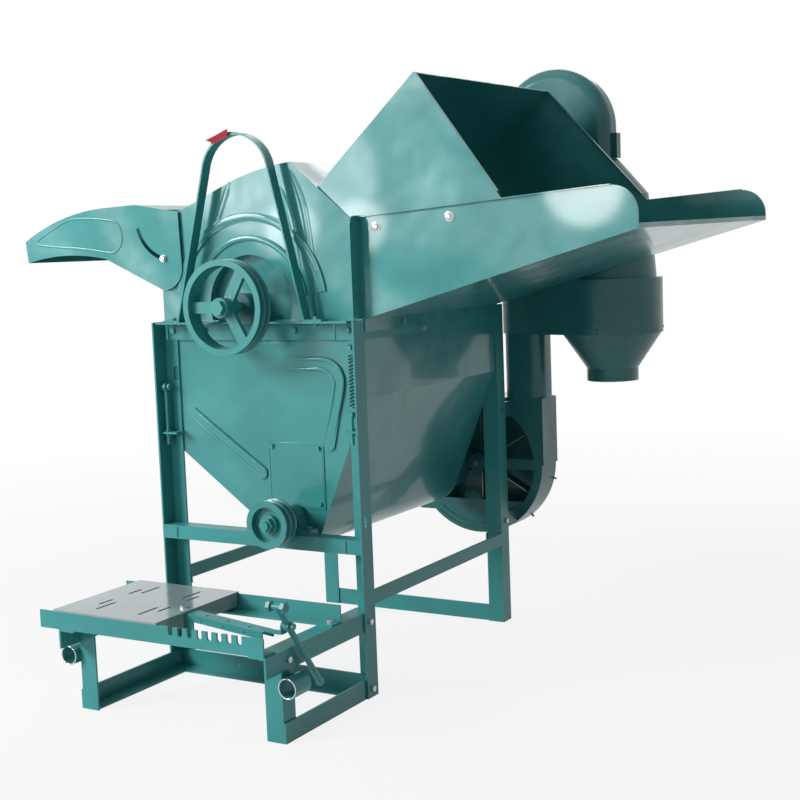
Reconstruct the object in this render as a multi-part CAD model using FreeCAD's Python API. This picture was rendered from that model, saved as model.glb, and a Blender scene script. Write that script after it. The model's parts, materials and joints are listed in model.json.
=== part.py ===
import FreeCAD, Part
import os
from math import sin, cos, tan, atan2, asin, radians, degrees, hypot, pi

os.makedirs("parts", exist_ok=True)

V = FreeCAD.Vector

# Driving sizes of the machine, in millimetres. X runs along the pulley side, Y to the back, Z up.
half_width = 260.0
leg_height = 776.0
rear_leg_y = 633.0
angle_size = 40.0
angle_wall = 4.0
sheet = 2.0
overrun = 1.0
hole_gap = 0.3

# Standard threads and seats that the pieces share.
bolt_r = 4.0
bolt_head_share = 1.65
bolt_head_height = 5.0
shaft_block_height = 33.3
journal_r = 10.0


def box(x0, x1, y0, y1, z0, z1):
    return Part.makeBox(x1 - x0, y1 - y0, z1 - z0, V(x0, y0, z0))


def face_of(edges):
    return Part.Face(Part.Wire(edges))


def polygon_edges(points):
    return [Part.makeLine(a, b) for a, b in zip(points, points[1:] + points[:1])]


def prism_y(points, y0, y1):
    outline = [V(x, y0, z) for x, z in points]
    return face_of(polygon_edges(outline)).extrude(V(0, y1 - y0, 0))


def prism_x(points, x0, x1):
    outline = [V(x0, y, z) for y, z in points]
    return face_of(polygon_edges(outline)).extrude(V(x1 - x0, 0, 0))


def prism_z(points, z0, z1):
    outline = [V(x, y, z0) for x, y in points]
    return face_of(polygon_edges(outline)).extrude(V(0, 0, z1 - z0))


def rod_y(x, z, r, y0, y1):
    return Part.makeCylinder(r, y1 - y0, V(x, y0, z), V(0, 1, 0))


def rod_x(y, z, r, x0, x1):
    return Part.makeCylinder(r, x1 - x0, V(x0, y, z), V(1, 0, 0))


def rod_z(x, y, r, z0, z1):
    return Part.makeCylinder(r, z1 - z0, V(x, y, z0), V(0, 0, 1))


def ring_y(x, z, r_out, r_in, y0, y1):
    bore = rod_y(x, z, r_in, y0 - overrun, y1 + overrun)
    return rod_y(x, z, r_out, y0, y1).cut(bore)


def polar(x, z, r, angle):
    return x + r * cos(radians(angle)), z + r * sin(radians(angle))


def sector_y(x, z, r_out, r_in, start, stop, y0, y1):
    """Part of a ring about a Y axis, between two angles."""
    middle = (start + stop) / 2
    corners = {}
    for r in (r_out, r_in):
        for angle in (start, middle, stop):
            px, pz = polar(x, z, r, angle)
            corners[r, angle] = V(px, y0, pz)
    edges = [
        Part.Arc(corners[r_out, start], corners[r_out, middle], corners[r_out, stop]).toShape(),
        Part.makeLine(corners[r_out, stop], corners[r_in, stop]),
        Part.Arc(corners[r_in, stop], corners[r_in, middle], corners[r_in, start]).toShape(),
        Part.makeLine(corners[r_in, start], corners[r_out, start]),
    ]
    return face_of(edges).extrude(V(0, y1 - y0, 0))


def strip_points(points, thickness):
    """Outline of a sheet of one thickness along a polyline, laid on its left side."""
    shifted = []
    count = len(points)
    for i in range(count):
        normals = []
        for a, b in ((i - 1, i), (i, i + 1)):
            if a < 0 or b >= count:
                continue
            dx = points[b][0] - points[a][0]
            dz = points[b][1] - points[a][1]
            size = hypot(dx, dz)
            normals.append((-dz / size, dx / size))
        nx = sum(n[0] for n in normals) / len(normals)
        nz = sum(n[1] for n in normals) / len(normals)
        scale = thickness / (nx * nx + nz * nz)
        shifted.append((points[i][0] + nx * scale, points[i][1] + nz * scale))
    return points + shifted[::-1]


def fuse_all(shapes):
    return shapes[0].multiFuse(shapes[1:]).removeSplitter() if len(shapes) > 1 else shapes[0]


def angle_bar_z(heel_x, heel_y, side_x, side_y, z0, z1):
    """Upright angle iron with its heel at one corner; the sides say which way its flanges point."""
    flange_x = box(*sorted((heel_x, heel_x + side_x * angle_size)),
                   *sorted((heel_y, heel_y + side_y * angle_wall)), z0, z1)
    flange_y = box(*sorted((heel_x, heel_x + side_x * angle_wall)),
                   *sorted((heel_y, heel_y + side_y * angle_size)), z0, z1)
    return fuse_all([flange_x, flange_y])


def angle_bar_y(heel_x, heel_z, side_x, side_z, y0, y1, size=angle_size):
    flat = box(*sorted((heel_x, heel_x + side_x * size)), y0, y1,
               *sorted((heel_z, heel_z + side_z * angle_wall)))
    upright = box(*sorted((heel_x, heel_x + side_x * angle_wall)), y0, y1,
                  *sorted((heel_z, heel_z + side_z * size)))
    return fuse_all([flat, upright])


def angle_bar_x(heel_y, heel_z, side_y, side_z, x0, x1, size=angle_size):
    flat = box(x0, x1, *sorted((heel_y, heel_y + side_y * size)),
               *sorted((heel_z, heel_z + side_z * angle_wall)))
    upright = box(x0, x1, *sorted((heel_y, heel_y + side_y * angle_wall)),
                  *sorted((heel_z, heel_z + side_z * size)))
    return fuse_all([flat, upright])


def slot_x(y, z0, z1, r, x0, x1):
    """Upright slot with round ends, cut through a wall that faces X."""
    ends = [rod_x(y, z, r, x0, x1) for z in (z0 + r, z1 - r)]
    return fuse_all(ends + [box(x0, x1, y - r, y + r, z0 + r, z1 - r)])


def slot_y(x, z0, z1, r, y0, y1):
    ends = [rod_y(x, z, r, y0, y1) for z in (z0 + r, z1 - r)]
    return fuse_all(ends + [box(x - r, x + r, y0, y1, z0 + r, z1 - r)])


def hexagon_rod(centre, axis, across, length):
    """Six-sided prism whose across value is the corner radius."""
    points = []
    if axis == "y":
        spots = [polar(centre[0], centre[2], across, 60 * i) for i in range(6)]
        points = [V(px, centre[1], pz) for px, pz in spots]
        way = V(0, length, 0)
    elif axis == "x":
        spots = [polar(centre[1], centre[2], across, 60 * i) for i in range(6)]
        points = [V(centre[0], py, pz) for py, pz in spots]
        way = V(length, 0, 0)
    else:
        spots = [polar(centre[0], centre[1], across, 60 * i) for i in range(6)]
        points = [V(px, py, centre[2]) for px, py in spots]
        way = V(0, 0, length)
    return face_of(polygon_edges(points)).extrude(way)


nodes = {}
fixed_holes = []
fixed_bolts = []


def bolt(axis, u, v, start, stop, r=bolt_r):
    """Bolt through stacked walls: u and v place its axis, start and stop are the outer faces."""
    way = 1 if stop > start else -1
    head_r = r * bolt_head_share
    if axis == "y":
        shank = rod_y(u, v, r, min(start, stop), max(start, stop))
        head = hexagon_rod((u, start, v), "y", head_r, -way * bolt_head_height)
        nut = hexagon_rod((u, stop, v), "y", head_r, way * bolt_head_height)
        hole = rod_y(u, v, r + hole_gap, min(start, stop) - hole_gap, max(start, stop) + hole_gap)
    elif axis == "x":
        shank = rod_x(u, v, r, min(start, stop), max(start, stop))
        head = hexagon_rod((start, u, v), "x", head_r, -way * bolt_head_height)
        nut = hexagon_rod((stop, u, v), "x", head_r, way * bolt_head_height)
        hole = rod_x(u, v, r + hole_gap, min(start, stop) - hole_gap, max(start, stop) + hole_gap)
    else:
        shank = rod_z(u, v, r, min(start, stop), max(start, stop))
        head = hexagon_rod((u, v, start), "z", head_r, -way * bolt_head_height)
        nut = hexagon_rod((u, v, stop), "z", head_r, way * bolt_head_height)
        hole = rod_z(u, v, r + hole_gap, min(start, stop) - hole_gap, max(start, stop) + hole_gap)
    fixed_bolts.append(fuse_all([shank, head, nut]))
    fixed_holes.append(hole)


# Planes that follow from the driving sizes.
panel_front = angle_size
panel_rear = rear_leg_y
inner_front = panel_front + sheet
inner_rear = panel_rear - sheet
side_out = half_width - angle_wall
side_in = side_out - sheet
rear_back = rear_leg_y + angle_size
tray_inner_x = side_out + sheet

# Frame cross pieces.
side_rail_top = 221.0
side_rail_height = 30.0
mid_beam_top = 330.0
mid_beam_height = 30.0
top_rail_height = 40.0
top_rail_reach_in = 10.0
top_rail_reach = side_out - top_rail_reach_in
left_slot_low_drop = 129.0
left_slot_low = leg_height - left_slot_low_drop
left_slot_high_drop = 98.0
left_slot_high = leg_height - left_slot_high_drop
left_slot_in = 28.0
left_slot_x = side_out - left_slot_in
left_slot_r = 7.0
right_slot_y = 16.0
right_slot_low_rise = 24.0
right_slot_low = mid_beam_top + right_slot_low_rise
right_slot_high_rise = 49.0
right_slot_high = mid_beam_top + right_slot_high_rise
right_slot_r = 4.0


def front_left_leg():
    leg = angle_bar_z(-half_width, panel_front, 1, -1, 0, leg_height)
    hole = slot_y(-left_slot_x, left_slot_low, left_slot_high, left_slot_r, 0, panel_front + overrun)
    return leg.cut(hole)


def front_right_leg():
    leg = angle_bar_z(half_width, panel_front, -1, -1, 0, leg_height)
    hole = slot_x(right_slot_y, right_slot_low, right_slot_high, right_slot_r,
                  side_in, half_width + overrun)
    return leg.cut(hole)


def rear_bottom_rail():
    """Angle between the rear legs at the floor, butted against their upright flanges."""
    return angle_bar_x(rear_leg_y + angle_wall, 0, 1, 1, -side_out, side_out)


def front_bottom_rail():
    reach = side_out - angle_wall
    return angle_bar_x(panel_front - angle_wall, 0, -1, 1, -reach, reach)


def lower_side_rail(side):
    x0, x1 = sorted((side * half_width, side * side_out))
    return box(x0, x1, panel_front, rear_leg_y, side_rail_top - side_rail_height, side_rail_top)


def mid_beam_front():
    """Ledge that carries the front auger bearing, with its upright flange at the front."""
    flat = box(-side_out, side_out, 0, panel_front - angle_wall, mid_beam_top - angle_wall, mid_beam_top)
    upright = box(-side_out, side_out, 0, angle_wall, mid_beam_top - mid_beam_height, mid_beam_top)
    return fuse_all([flat, upright])


def top_rail(front):
    """Angle over the bearing side: the flat flange is the seat of the drum bearing."""
    if front:
        y_face, way = panel_front - angle_wall, -1
    else:
        y_face, way = rear_leg_y + angle_wall, 1
    rail = angle_bar_x(y_face, leg_height, way, -1, -top_rail_reach, top_rail_reach)
    corner = angle_wall * 2
    cuts = []
    for side in (-1, 1):
        tip = side * top_rail_reach
        points = [(tip, leg_height - top_rail_height), (tip, leg_height - top_rail_height + corner),
                  (tip - side * corner, leg_height - top_rail_height)]
        cuts.append(prism_y(points, -angle_size, rear_back + angle_size))
    return rail.cut(fuse_all(cuts))


def side_top_rail(side):
    """Flat bar outside the casing between the legs; the feed side carries the tray."""
    x0, x1 = sorted((side * half_width, side * side_out))
    return box(x0, x1, panel_front, rear_leg_y, leg_height - top_rail_height, leg_height)


# Motor base in front of the machine.
base_front = 340.0
base_leg_front = 287.0
base_rail_top = 180.0
base_left_reach_out = 49.0
base_left_reach = side_out + base_left_reach_out
cross_rail_size = 36.0
rear_cross_y = 76.0
notch_pitch = 23.4
notch_first_x = 34.0
notch_count = 8
notch_width = 11.0
notch_depth = 17.0
socket_r = 20.5
socket_wall = 3.0
socket_length = 50.0
socket_z = 113.0
socket_front = 300.0

base_outer = side_out
base_inner = base_outer - angle_wall
base_right_reach = base_inner


def base_side_rail(side):
    """Angle from the main leg to the front of the base, flat flange on top and pointing in."""
    return angle_bar_y(side * base_outer, base_rail_top, -side, -1, -base_front, panel_front - angle_wall)


def base_leg(side):
    """Front foot of the base with its floor rail, welded into one corner frame."""
    leg = angle_bar_z(side * base_inner, -base_leg_front, -side, 1, 0, base_rail_top - angle_wall)
    flat_end = panel_front - angle_wall - angle_size
    foot = angle_bar_y(side * base_outer, 0, -side, 1, -base_leg_front, flat_end)
    upright = box(*sorted((side * base_outer, side * base_inner)), -base_leg_front,
                  panel_front - angle_wall, 0, angle_size)
    return fuse_all([leg, foot, upright])


def notched_rail():
    """Front cross angle with a row of open notches in its top edge."""
    rail = angle_bar_x(-base_front, base_rail_top, 1, 1, -base_left_reach, base_right_reach,
                       cross_rail_size)
    top = base_rail_top + cross_rail_size
    r = notch_width / 2
    cuts = []
    for i in range(notch_count):
        x = notch_first_x + i * notch_pitch
        low = top - notch_depth + r
        y0, y1 = -base_front - overrun, -base_front + angle_wall + overrun
        cuts.append(box(x - r, x + r, y0, y1, low, top + overrun))
        cuts.append(rod_y(x, low, r, y0, y1))
    return rail.cut(fuse_all(cuts))


def rear_cross_rail():
    return angle_bar_x(-rear_cross_y, base_rail_top, -1, 1, -base_left_reach, base_right_reach,
                       cross_rail_size)


def pole_sockets():
    """Short tubes on the base legs that take the carrying poles."""
    sockets = []
    for side in (-1, 1):
        x = side * (base_inner + socket_r)
        sockets.append(ring_y(x, socket_z, socket_r, socket_r - socket_wall,
                              -socket_front, -socket_front + socket_length))
    return Part.makeCompound(sockets)


# Lower casing around the concave, with a grain trough at the bottom.
auger_x = 74.0
auger_z = mid_beam_top + shaft_block_height
trough_r = 70.0
left_fold_drop = 260.0
left_fold_z = leg_height - left_fold_drop
right_fold_drop = 159.0
right_fold_z = leg_height - right_fold_drop
rib_rise = 4.0
rib_corner = 40.0
rib_band = 28.0
rib_top_drop = 76.0
rib_top_z = leg_height - rib_top_drop
rib_left_x = 70.0
rib_right_in = 48.0
rib_right_x = side_out - rib_right_in
rib_low_drop = 97.0
rib_low_z = right_fold_z - rib_low_drop
diagonal_high_share = 0.053
diagonal_high_in = 86.5
diagonal_low_share = 0.664
diagonal_low_in = 92.5
door_left = 8.0
door_right = rib_right_x - 2 * rib_band - sheet
door_low_rise = 51.0
door_low = mid_beam_top + door_low_rise
door_high_rise = 192.0
door_high = mid_beam_top + door_high_rise
trough_out_r = 50.0


def tangent_angle(fold_x, fold_z, side):
    """Angle on the trough circle where the sloping side meets it."""
    dx, dz = auger_x - fold_x, auger_z - fold_z
    reach = hypot(dx, dz)
    heading = degrees(atan2(dz, dx)) + side * degrees(asin(trough_r / reach))
    return heading + side * 90


left_touch = tangent_angle(-side_out, left_fold_z, -1)
right_touch = tangent_angle(side_out, right_fold_z, 1)


def casing_outline():
    left = polar(auger_x, auger_z, trough_r, left_touch)
    right = polar(auger_x, auger_z, trough_r, right_touch)
    bottom = polar(auger_x, auger_z, trough_r, (left_touch + right_touch) / 2)
    return left, bottom, right


def beside_slope(share, inset):
    """Place inside the left slope, at a share of its length and a distance from it."""
    left, bottom, right = casing_outline()
    run_x, run_z = left[0] + side_out, left[1] - left_fold_z
    size = hypot(run_x, run_z)
    return (share * run_x - side_out - inset * run_z / size,
            share * run_z + left_fold_z + inset * run_x / size)


def casing_panel(y0, y1):
    left, bottom, right = casing_outline()

    def at(p):
        return V(p[0], y0, p[1])

    top_left, top_right = (-side_out, leg_height), (side_out, leg_height)
    fold_left, fold_right = (-side_out, left_fold_z), (side_out, right_fold_z)
    edges = [
        Part.makeLine(at(top_left), at(fold_left)),
        Part.makeLine(at(fold_left), at(left)),
        Part.Arc(at(left), at(bottom), at(right)).toShape(),
        Part.makeLine(at(right), at(fold_right)),
        Part.makeLine(at(fold_right), at(top_right)),
        Part.makeLine(at(top_right), at(top_left)),
    ]
    return face_of(edges).extrude(V(0, y1 - y0, 0))


def pressed(panel, raised, hollow):
    """Pressed rib: metal stands proud at the front and is hollow behind."""
    return panel.fuse(raised).cut(hollow).removeSplitter()


def band_along(points, width, y0, y1, inset):
    """Rib body along a polyline with round ends and corners."""
    r = width / 2 - inset
    pieces = []
    for a, b in zip(points, points[1:]):
        dx, dz = b[0] - a[0], b[1] - a[1]
        size = hypot(dx, dz)
        nx, nz = -dz / size * r, dx / size * r
        corners = [(a[0] + nx, a[1] + nz), (a[0] - nx, a[1] - nz),
                   (b[0] - nx, b[1] - nz), (b[0] + nx, b[1] + nz)]
        pieces.append(prism_y(corners, y0, y1))
    for x, z in points:
        pieces.append(rod_y(x, z, r, y0, y1))
    return fuse_all(pieces)


def body_front_panel():
    panel = casing_panel(panel_front, inner_front)
    middle = rib_band / 2
    turn = rib_corner * (1 - cos(radians(45)))
    corner_rib = [(rib_left_x, rib_top_z - middle), (rib_right_x - middle - rib_corner, rib_top_z - middle),
                  (rib_right_x - middle - turn, rib_top_z - middle - turn),
                  (rib_right_x - middle, rib_top_z - middle - rib_corner),
                  (rib_right_x - rib_band - middle, rib_low_z)]
    slope_rib = [beside_slope(diagonal_high_share, diagonal_high_in),
                 beside_slope(diagonal_low_share, diagonal_low_in)]
    for points in (corner_rib, slope_rib):
        raised = band_along(points, rib_band, panel_front - rib_rise, panel_front, 0)
        hollow = band_along(points, rib_band, panel_front - rib_rise + sheet, inner_front, sheet)
        panel = pressed(panel, raised, hollow)
    bore = rod_y(auger_x, auger_z, journal_r + hole_gap, panel_front - overrun, inner_front + overrun)
    return panel.cut(bore)


def body_rear_panel():
    panel = casing_panel(inner_rear, panel_rear)
    outlet = rod_y(auger_x, auger_z, trough_out_r, inner_rear - overrun, panel_rear + overrun)
    return panel.cut(outlet)


def body_left_sheet():
    left, bottom, right = casing_outline()
    points = [(-side_out, leg_height), (-side_out, left_fold_z), left]
    return prism_y(strip_points(points, sheet), inner_front, inner_rear)


def body_right_sheet():
    left, bottom, right = casing_outline()
    points = [right, (side_out, right_fold_z), (side_out, leg_height)]
    return prism_y(strip_points(points, sheet), inner_front, inner_rear)


def auger_trough():
    return sector_y(auger_x, auger_z, trough_r, trough_r - sheet, left_touch, right_touch,
                    inner_front, inner_rear)


def inspection_cover():
    plate = box(door_left, door_right, panel_front - sheet, panel_front, door_low, door_high)
    return plate


# Upper casing over the drum.
drum_x = -20.0
drum_z = leg_height + shaft_block_height
drum_shaft_r = 14.0
concave_side_gap = 6.0
concave_rib_depth = 24.0
concave_r = side_in + drum_x - concave_side_gap - concave_rib_depth
hood_shoulder_in = 2.0
hood_shoulder_x = side_out - hood_shoulder_in
hood_shoulder_rise = 149.0
hood_shoulder_z = leg_height + hood_shoulder_rise
hood_corner_in = 22.0
hood_corner_x = side_out - hood_corner_in
hood_corner_rise = 224.0
hood_corner_z = leg_height + hood_corner_rise
hood_tip_in = 26.0
hood_tip_x = side_out - hood_tip_in
hood_tip_rise = 236.0
hood_tip_z = leg_height + hood_tip_rise
hood_eave_in = 66.0
hood_eave_x = side_out - hood_eave_in
hood_eave_rise = 242.0
hood_eave_z = leg_height + hood_eave_rise
hood_knee_x = 58.0
hood_knee_rise = 294.0
hood_knee_z = leg_height + hood_knee_rise
hood_crown_x = 20.0
hood_crown_rise = 315.0
hood_crown_z = leg_height + hood_crown_rise
hood_ridge_in = 160.0
hood_ridge_x = side_out - hood_ridge_in
hood_ridge_rise = 326.0
hood_ridge_z = leg_height + hood_ridge_rise
throat_top_rise = 190.0
throat_top_z = leg_height + throat_top_rise
recess_depth = 26.0
arch_outer_in = 28.0
arch_outer_r = concave_r - arch_outer_in
arch_inner_in = 41.0
arch_inner_r = arch_outer_r - arch_inner_in
recess_in = 27.0
recess_r = arch_inner_r - recess_in
arch_inner_width = 12.0
arch_outer_width = 19.0
arch_low_angle = 8.0
outlet_low_rise = 69.0
outlet_low_z = leg_height + outlet_low_rise
flange_depth = 35.0
roof_drop_share = 1.1
slope_drop_share = 1.3
arch_step_angle = 1.0
half_turn = 180.0
flange_top_rise = 209.0
flange_top_z = leg_height + flange_top_rise


def hood_panel(y0, y1):
    def at(x, z):
        return V(x, y0, z)

    edges = [
        Part.makeLine(at(-side_out, leg_height), at(-side_out, outlet_low_z)),
        Part.makeLine(at(-side_out, outlet_low_z), at(-hood_shoulder_x, hood_shoulder_z)),
        Part.makeLine(at(-hood_shoulder_x, hood_shoulder_z), at(-hood_corner_x, hood_corner_z)),
        Part.makeLine(at(-hood_corner_x, hood_corner_z), at(-hood_tip_x, hood_tip_z)),
        Part.makeLine(at(-hood_tip_x, hood_tip_z), at(-hood_eave_x, hood_eave_z)),
        Part.makeLine(at(-hood_eave_x, hood_eave_z), at(-hood_knee_x, hood_knee_z)),
        Part.Arc(at(-hood_knee_x, hood_knee_z), at(hood_crown_x, hood_crown_z),
                 at(hood_ridge_x, hood_ridge_z)).toShape(),
        Part.makeLine(at(hood_ridge_x, hood_ridge_z), at(side_out, throat_top_z)),
        Part.makeLine(at(side_out, throat_top_z), at(side_out, leg_height)),
        Part.makeLine(at(side_out, leg_height), at(-side_out, leg_height)),
    ]
    return face_of(edges).extrude(V(0, y1 - y0, 0))


def recess_dish(y_face, way):
    """Pressed half-round dish around the shaft, in front of which the bearing stands."""
    y_in = y_face + way * recess_depth
    outer = rod_y(drum_x, drum_z, recess_r, *sorted((y_face, y_in)))
    pocket = rod_y(drum_x, drum_z, recess_r - sheet, *sorted((y_face - way * overrun, y_in - way * sheet)))
    below = box(-half_width, half_width, *sorted((y_face - way * overrun, y_in + way * overrun)),
                0, leg_height)
    floor = box(drum_x - recess_r, drum_x + recess_r, *sorted((y_face, y_in)),
                leg_height, leg_height + sheet)
    round_floor = floor.common(outer)
    return fuse_all([outer.cut(pocket).cut(below), round_floor])


def hood_end(y_face, way):
    """End panel of the hood: two pressed arches round the shaft and the dish of the bearing."""
    y_in = y_face + way * sheet
    panel = hood_panel(*sorted((y_face, y_in)))
    for r, width in ((arch_inner_r, arch_inner_width), (arch_outer_r, arch_outer_width)):
        raised = sector_y(drum_x, drum_z, r + width, r, arch_low_angle, half_turn - arch_low_angle,
                          *sorted((y_face - way * rib_rise, y_face)))
        hollow = sector_y(drum_x, drum_z, r + width - sheet, r + sheet,
                          arch_low_angle + arch_step_angle,
                          half_turn - arch_step_angle - arch_low_angle,
                          *sorted((y_face - way * (rib_rise - sheet), y_in)))
        panel = pressed(panel, raised, hollow)
    opening = rod_y(drum_x, drum_z, recess_r, *sorted((y_face - way * overrun, y_in + way * overrun)))
    panel = panel.cut(opening).fuse(recess_dish(y_face, way)).removeSplitter()
    bore = rod_y(drum_x, drum_z, journal_r + hole_gap,
                 *sorted((y_face - way * overrun, y_face + way * (recess_depth + overrun))))
    return panel.cut(bore)


def hood_flange(y_face, way):
    """Turned-out strip beside the throat, rounded at its top corner."""
    y_out = y_face - way * flange_depth
    y_in = y_face + way * sheet
    r = flange_depth / 2
    y_mid = y_out + way * r
    low = leg_height + sheet
    flange = box(side_out, tray_inner_x, *sorted((y_out, y_in)), low, flange_top_z - r)
    round_top = rod_x(y_mid, flange_top_z - r, r, side_out, tray_inner_x)
    web = box(side_out, tray_inner_x, *sorted((y_mid, y_in)), flange_top_z - 2 * r, flange_top_z)
    return fuse_all([flange, round_top, web])


def hood_front_panel():
    return fuse_all([hood_end(panel_front, 1), hood_flange(panel_front, 1)])


def slope_line(x):
    share = (x - hood_ridge_x) / (side_out - hood_ridge_x)
    return hood_ridge_z + share * (throat_top_z - hood_ridge_z)


def hood_rear_panel():
    return fuse_all([hood_end(panel_rear, -1), hood_flange(panel_rear, -1)])


def hood_left_sheet():
    return box(-side_out, -side_in, inner_front, inner_rear, leg_height, outlet_low_z)


def hood_top_sheet():
    """Roof of the hood from the outlet to the ridge: a flat, then an arc."""
    def at(x, z):
        return V(x, inner_front, z)

    drop = sheet * roof_drop_share
    edges = [
        Part.makeLine(at(-hood_tip_x, hood_tip_z), at(-hood_eave_x, hood_eave_z)),
        Part.makeLine(at(-hood_eave_x, hood_eave_z), at(-hood_knee_x, hood_knee_z)),
        Part.Arc(at(-hood_knee_x, hood_knee_z), at(hood_crown_x, hood_crown_z),
                 at(hood_ridge_x, hood_ridge_z)).toShape(),
        Part.makeLine(at(hood_ridge_x, hood_ridge_z), at(hood_ridge_x, hood_ridge_z - drop)),
        Part.Arc(at(hood_ridge_x, hood_ridge_z - drop), at(hood_crown_x, hood_crown_z - drop),
                 at(-hood_knee_x, hood_knee_z - drop)).toShape(),
        Part.makeLine(at(-hood_knee_x, hood_knee_z - drop), at(-hood_eave_x, hood_eave_z - drop)),
        Part.makeLine(at(-hood_eave_x, hood_eave_z - drop), at(-hood_tip_x, hood_tip_z - drop)),
        Part.makeLine(at(-hood_tip_x, hood_tip_z - drop), at(-hood_tip_x, hood_tip_z)),
    ]
    return face_of(edges).extrude(V(0, inner_rear - inner_front, 0))


def hood_slope_sheet():
    drop = sheet * slope_drop_share
    points = [(hood_ridge_x, hood_ridge_z), (side_out, throat_top_z),
              (side_out, throat_top_z - drop), (hood_ridge_x, hood_ridge_z - drop)]
    return prism_y(points, inner_front, inner_rear)


# Feed tray and feed hood on the right-hand side.
tray_low_z = leg_height
tray_near_out = 602.0
tray_near_x = side_out + tray_near_out
tray_skew = 44.0
tray_far_x = tray_near_x + tray_skew
tray_near_y = 12.0
tray_far_side_out = 27.0
tray_far_y = rear_leg_y + tray_far_side_out
tray_slope_share = 0.268
tray_wall_inner_rise = 205.0
tray_wall_inner_z = leg_height + tray_wall_inner_rise
tray_wall_outer_rise = 239.0
tray_wall_outer_z = leg_height + tray_wall_outer_rise
tray_wall_round = 52.0
tray_fold = 9.0
tray_apron_height = 24.0
feed_low_out = 328.0
feed_low_x = side_out + feed_low_out
feed_far_low_out = 384.0
feed_far_low_x = side_out + feed_far_low_out
feed_lap = 45.0
feed_apex_out = 143.0
feed_apex_x = side_out + feed_apex_out
feed_far_apex_out = 154.0
feed_far_apex_x = side_out + feed_far_apex_out
feed_apex_rise = 476.0
feed_apex_z = leg_height + feed_apex_rise
feed_left_in = 96.0
feed_left_x = side_out - feed_left_in
feed_lip = 8.0


def tray_floor_z(x):
    return tray_low_z + (x - tray_inner_x) * tray_slope_share


def plane_solid(points, thickness):
    """Flat sheet on three or four points in space, laid on the side that faces up."""
    outline = [V(*p) for p in points]
    face = face_of(polygon_edges(outline))
    normal = face.normalAt(0, 0)
    if normal.z < 0:
        normal = normal * -1
    return face.extrude(normal * thickness)


def tray_floor():
    """Sloping floor between the two walls, with a folded lip along its outer edge."""
    near, far = panel_front, panel_rear
    points = [(tray_inner_x, near, tray_floor_z(tray_inner_x)),
              (tray_near_x, tray_near_y, tray_floor_z(tray_near_x)),
              (tray_far_x, tray_far_y, tray_floor_z(tray_far_x)),
              (tray_inner_x, far, tray_floor_z(tray_inner_x))]
    floor = plane_solid(points, sheet)
    lip_base = [(tray_near_x, tray_near_y), (tray_far_x, tray_far_y),
                (tray_far_x - sheet, wall_y(False, tray_far_x - sheet)),
                (tray_near_x - sheet, wall_y(True, tray_near_x - sheet))]
    lip = prism_z(lip_base, tray_floor_z(tray_near_x) - sheet, tray_floor_z(tray_far_x) + tray_fold)
    under = [(tray_near_x, tray_floor_z(tray_near_x)), (tray_far_x, tray_floor_z(tray_far_x))]
    over = tray_fold
    band = prism_y([(under[0][0] - over, under[0][1] - over * tray_slope_share),
                    (under[1][0] + over, under[1][1] + over * tray_slope_share),
                    (under[1][0] + over, under[1][1] + over * (1 + tray_slope_share)),
                    (under[0][0] - over, under[0][1] + over * (1 - tray_slope_share))],
                   tray_near_y - overrun, tray_far_y + overrun)
    hem = box(side_in, tray_inner_x, near + sheet, far - sheet, leg_height, leg_height + sheet)
    apron = box(half_width, half_width + sheet, near + sheet, far - sheet,
                leg_height - tray_apron_height, leg_height + sheet)
    return fuse_all([floor, lip.common(band), hem, apron])


def wall_plane(near_wall):
    if near_wall:
        return (tray_inner_x, panel_front), (tray_near_x, tray_near_y), -1
    return (tray_inner_x, panel_rear), (tray_far_x, tray_far_y), 1


def wall_solid(near_wall, points, thickness, lift=0.0):
    """Sheet on the plane of one tray wall; points are (x, z) on that plane."""
    (x0, y0), (x1, y1), way = wall_plane(near_wall)
    share = (y1 - y0) / (x1 - x0)
    outline = [V(x, y0 + (x - x0) * share + way * lift, z) for x, z in points]
    return face_of(polygon_edges(outline)).extrude(V(0, way * thickness, 0))


def tray_wall(near_wall):
    """Side wall with a rounded outer corner and a folded top edge."""
    (x0, y0), (x1, y1), way = wall_plane(near_wall)
    share = (y1 - y0) / (x1 - x0)

    def at(x, z):
        return V(x, y0 + (x - x0) * share, z)

    end_z = tray_floor_z(x1)
    top_end = x1 - tray_wall_round
    side_z = tray_wall_outer_z - tray_wall_round
    bend = tray_wall_round * (1 - sin(radians(45)))
    edges = [
        Part.makeLine(at(x0, tray_low_z), at(x0, tray_wall_inner_z)),
        Part.makeLine(at(x0, tray_wall_inner_z), at(top_end, tray_wall_outer_z)),
        Part.Arc(at(top_end, tray_wall_outer_z), at(x1 - bend, tray_wall_outer_z - bend),
                 at(x1, side_z)).toShape(),
        Part.makeLine(at(x1, side_z), at(x1, end_z)),
        Part.makeLine(at(x1, end_z), at(x0, tray_low_z)),
    ]
    wall = face_of(edges).extrude(V(0, way * sheet, 0))
    slope = (tray_wall_outer_z - tray_wall_inner_z) / (top_end - x0)
    fold = [(x0, tray_wall_inner_z), (top_end, tray_wall_outer_z),
            (top_end, tray_wall_outer_z + sheet), (x0, tray_wall_inner_z + sheet)]
    return fuse_all([wall, wall_solid(near_wall, fold, tray_fold)])


def tray_walls():
    floor = tray_floor()
    return Part.makeCompound([tray_wall(near_wall).cut(floor) for near_wall in (True, False)])


def wall_top_z(x):
    top_end = tray_near_x - tray_wall_round
    return tray_wall_inner_z + (x - tray_inner_x) * (tray_wall_outer_z - tray_wall_inner_z) / (
        top_end - tray_inner_x)


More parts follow.
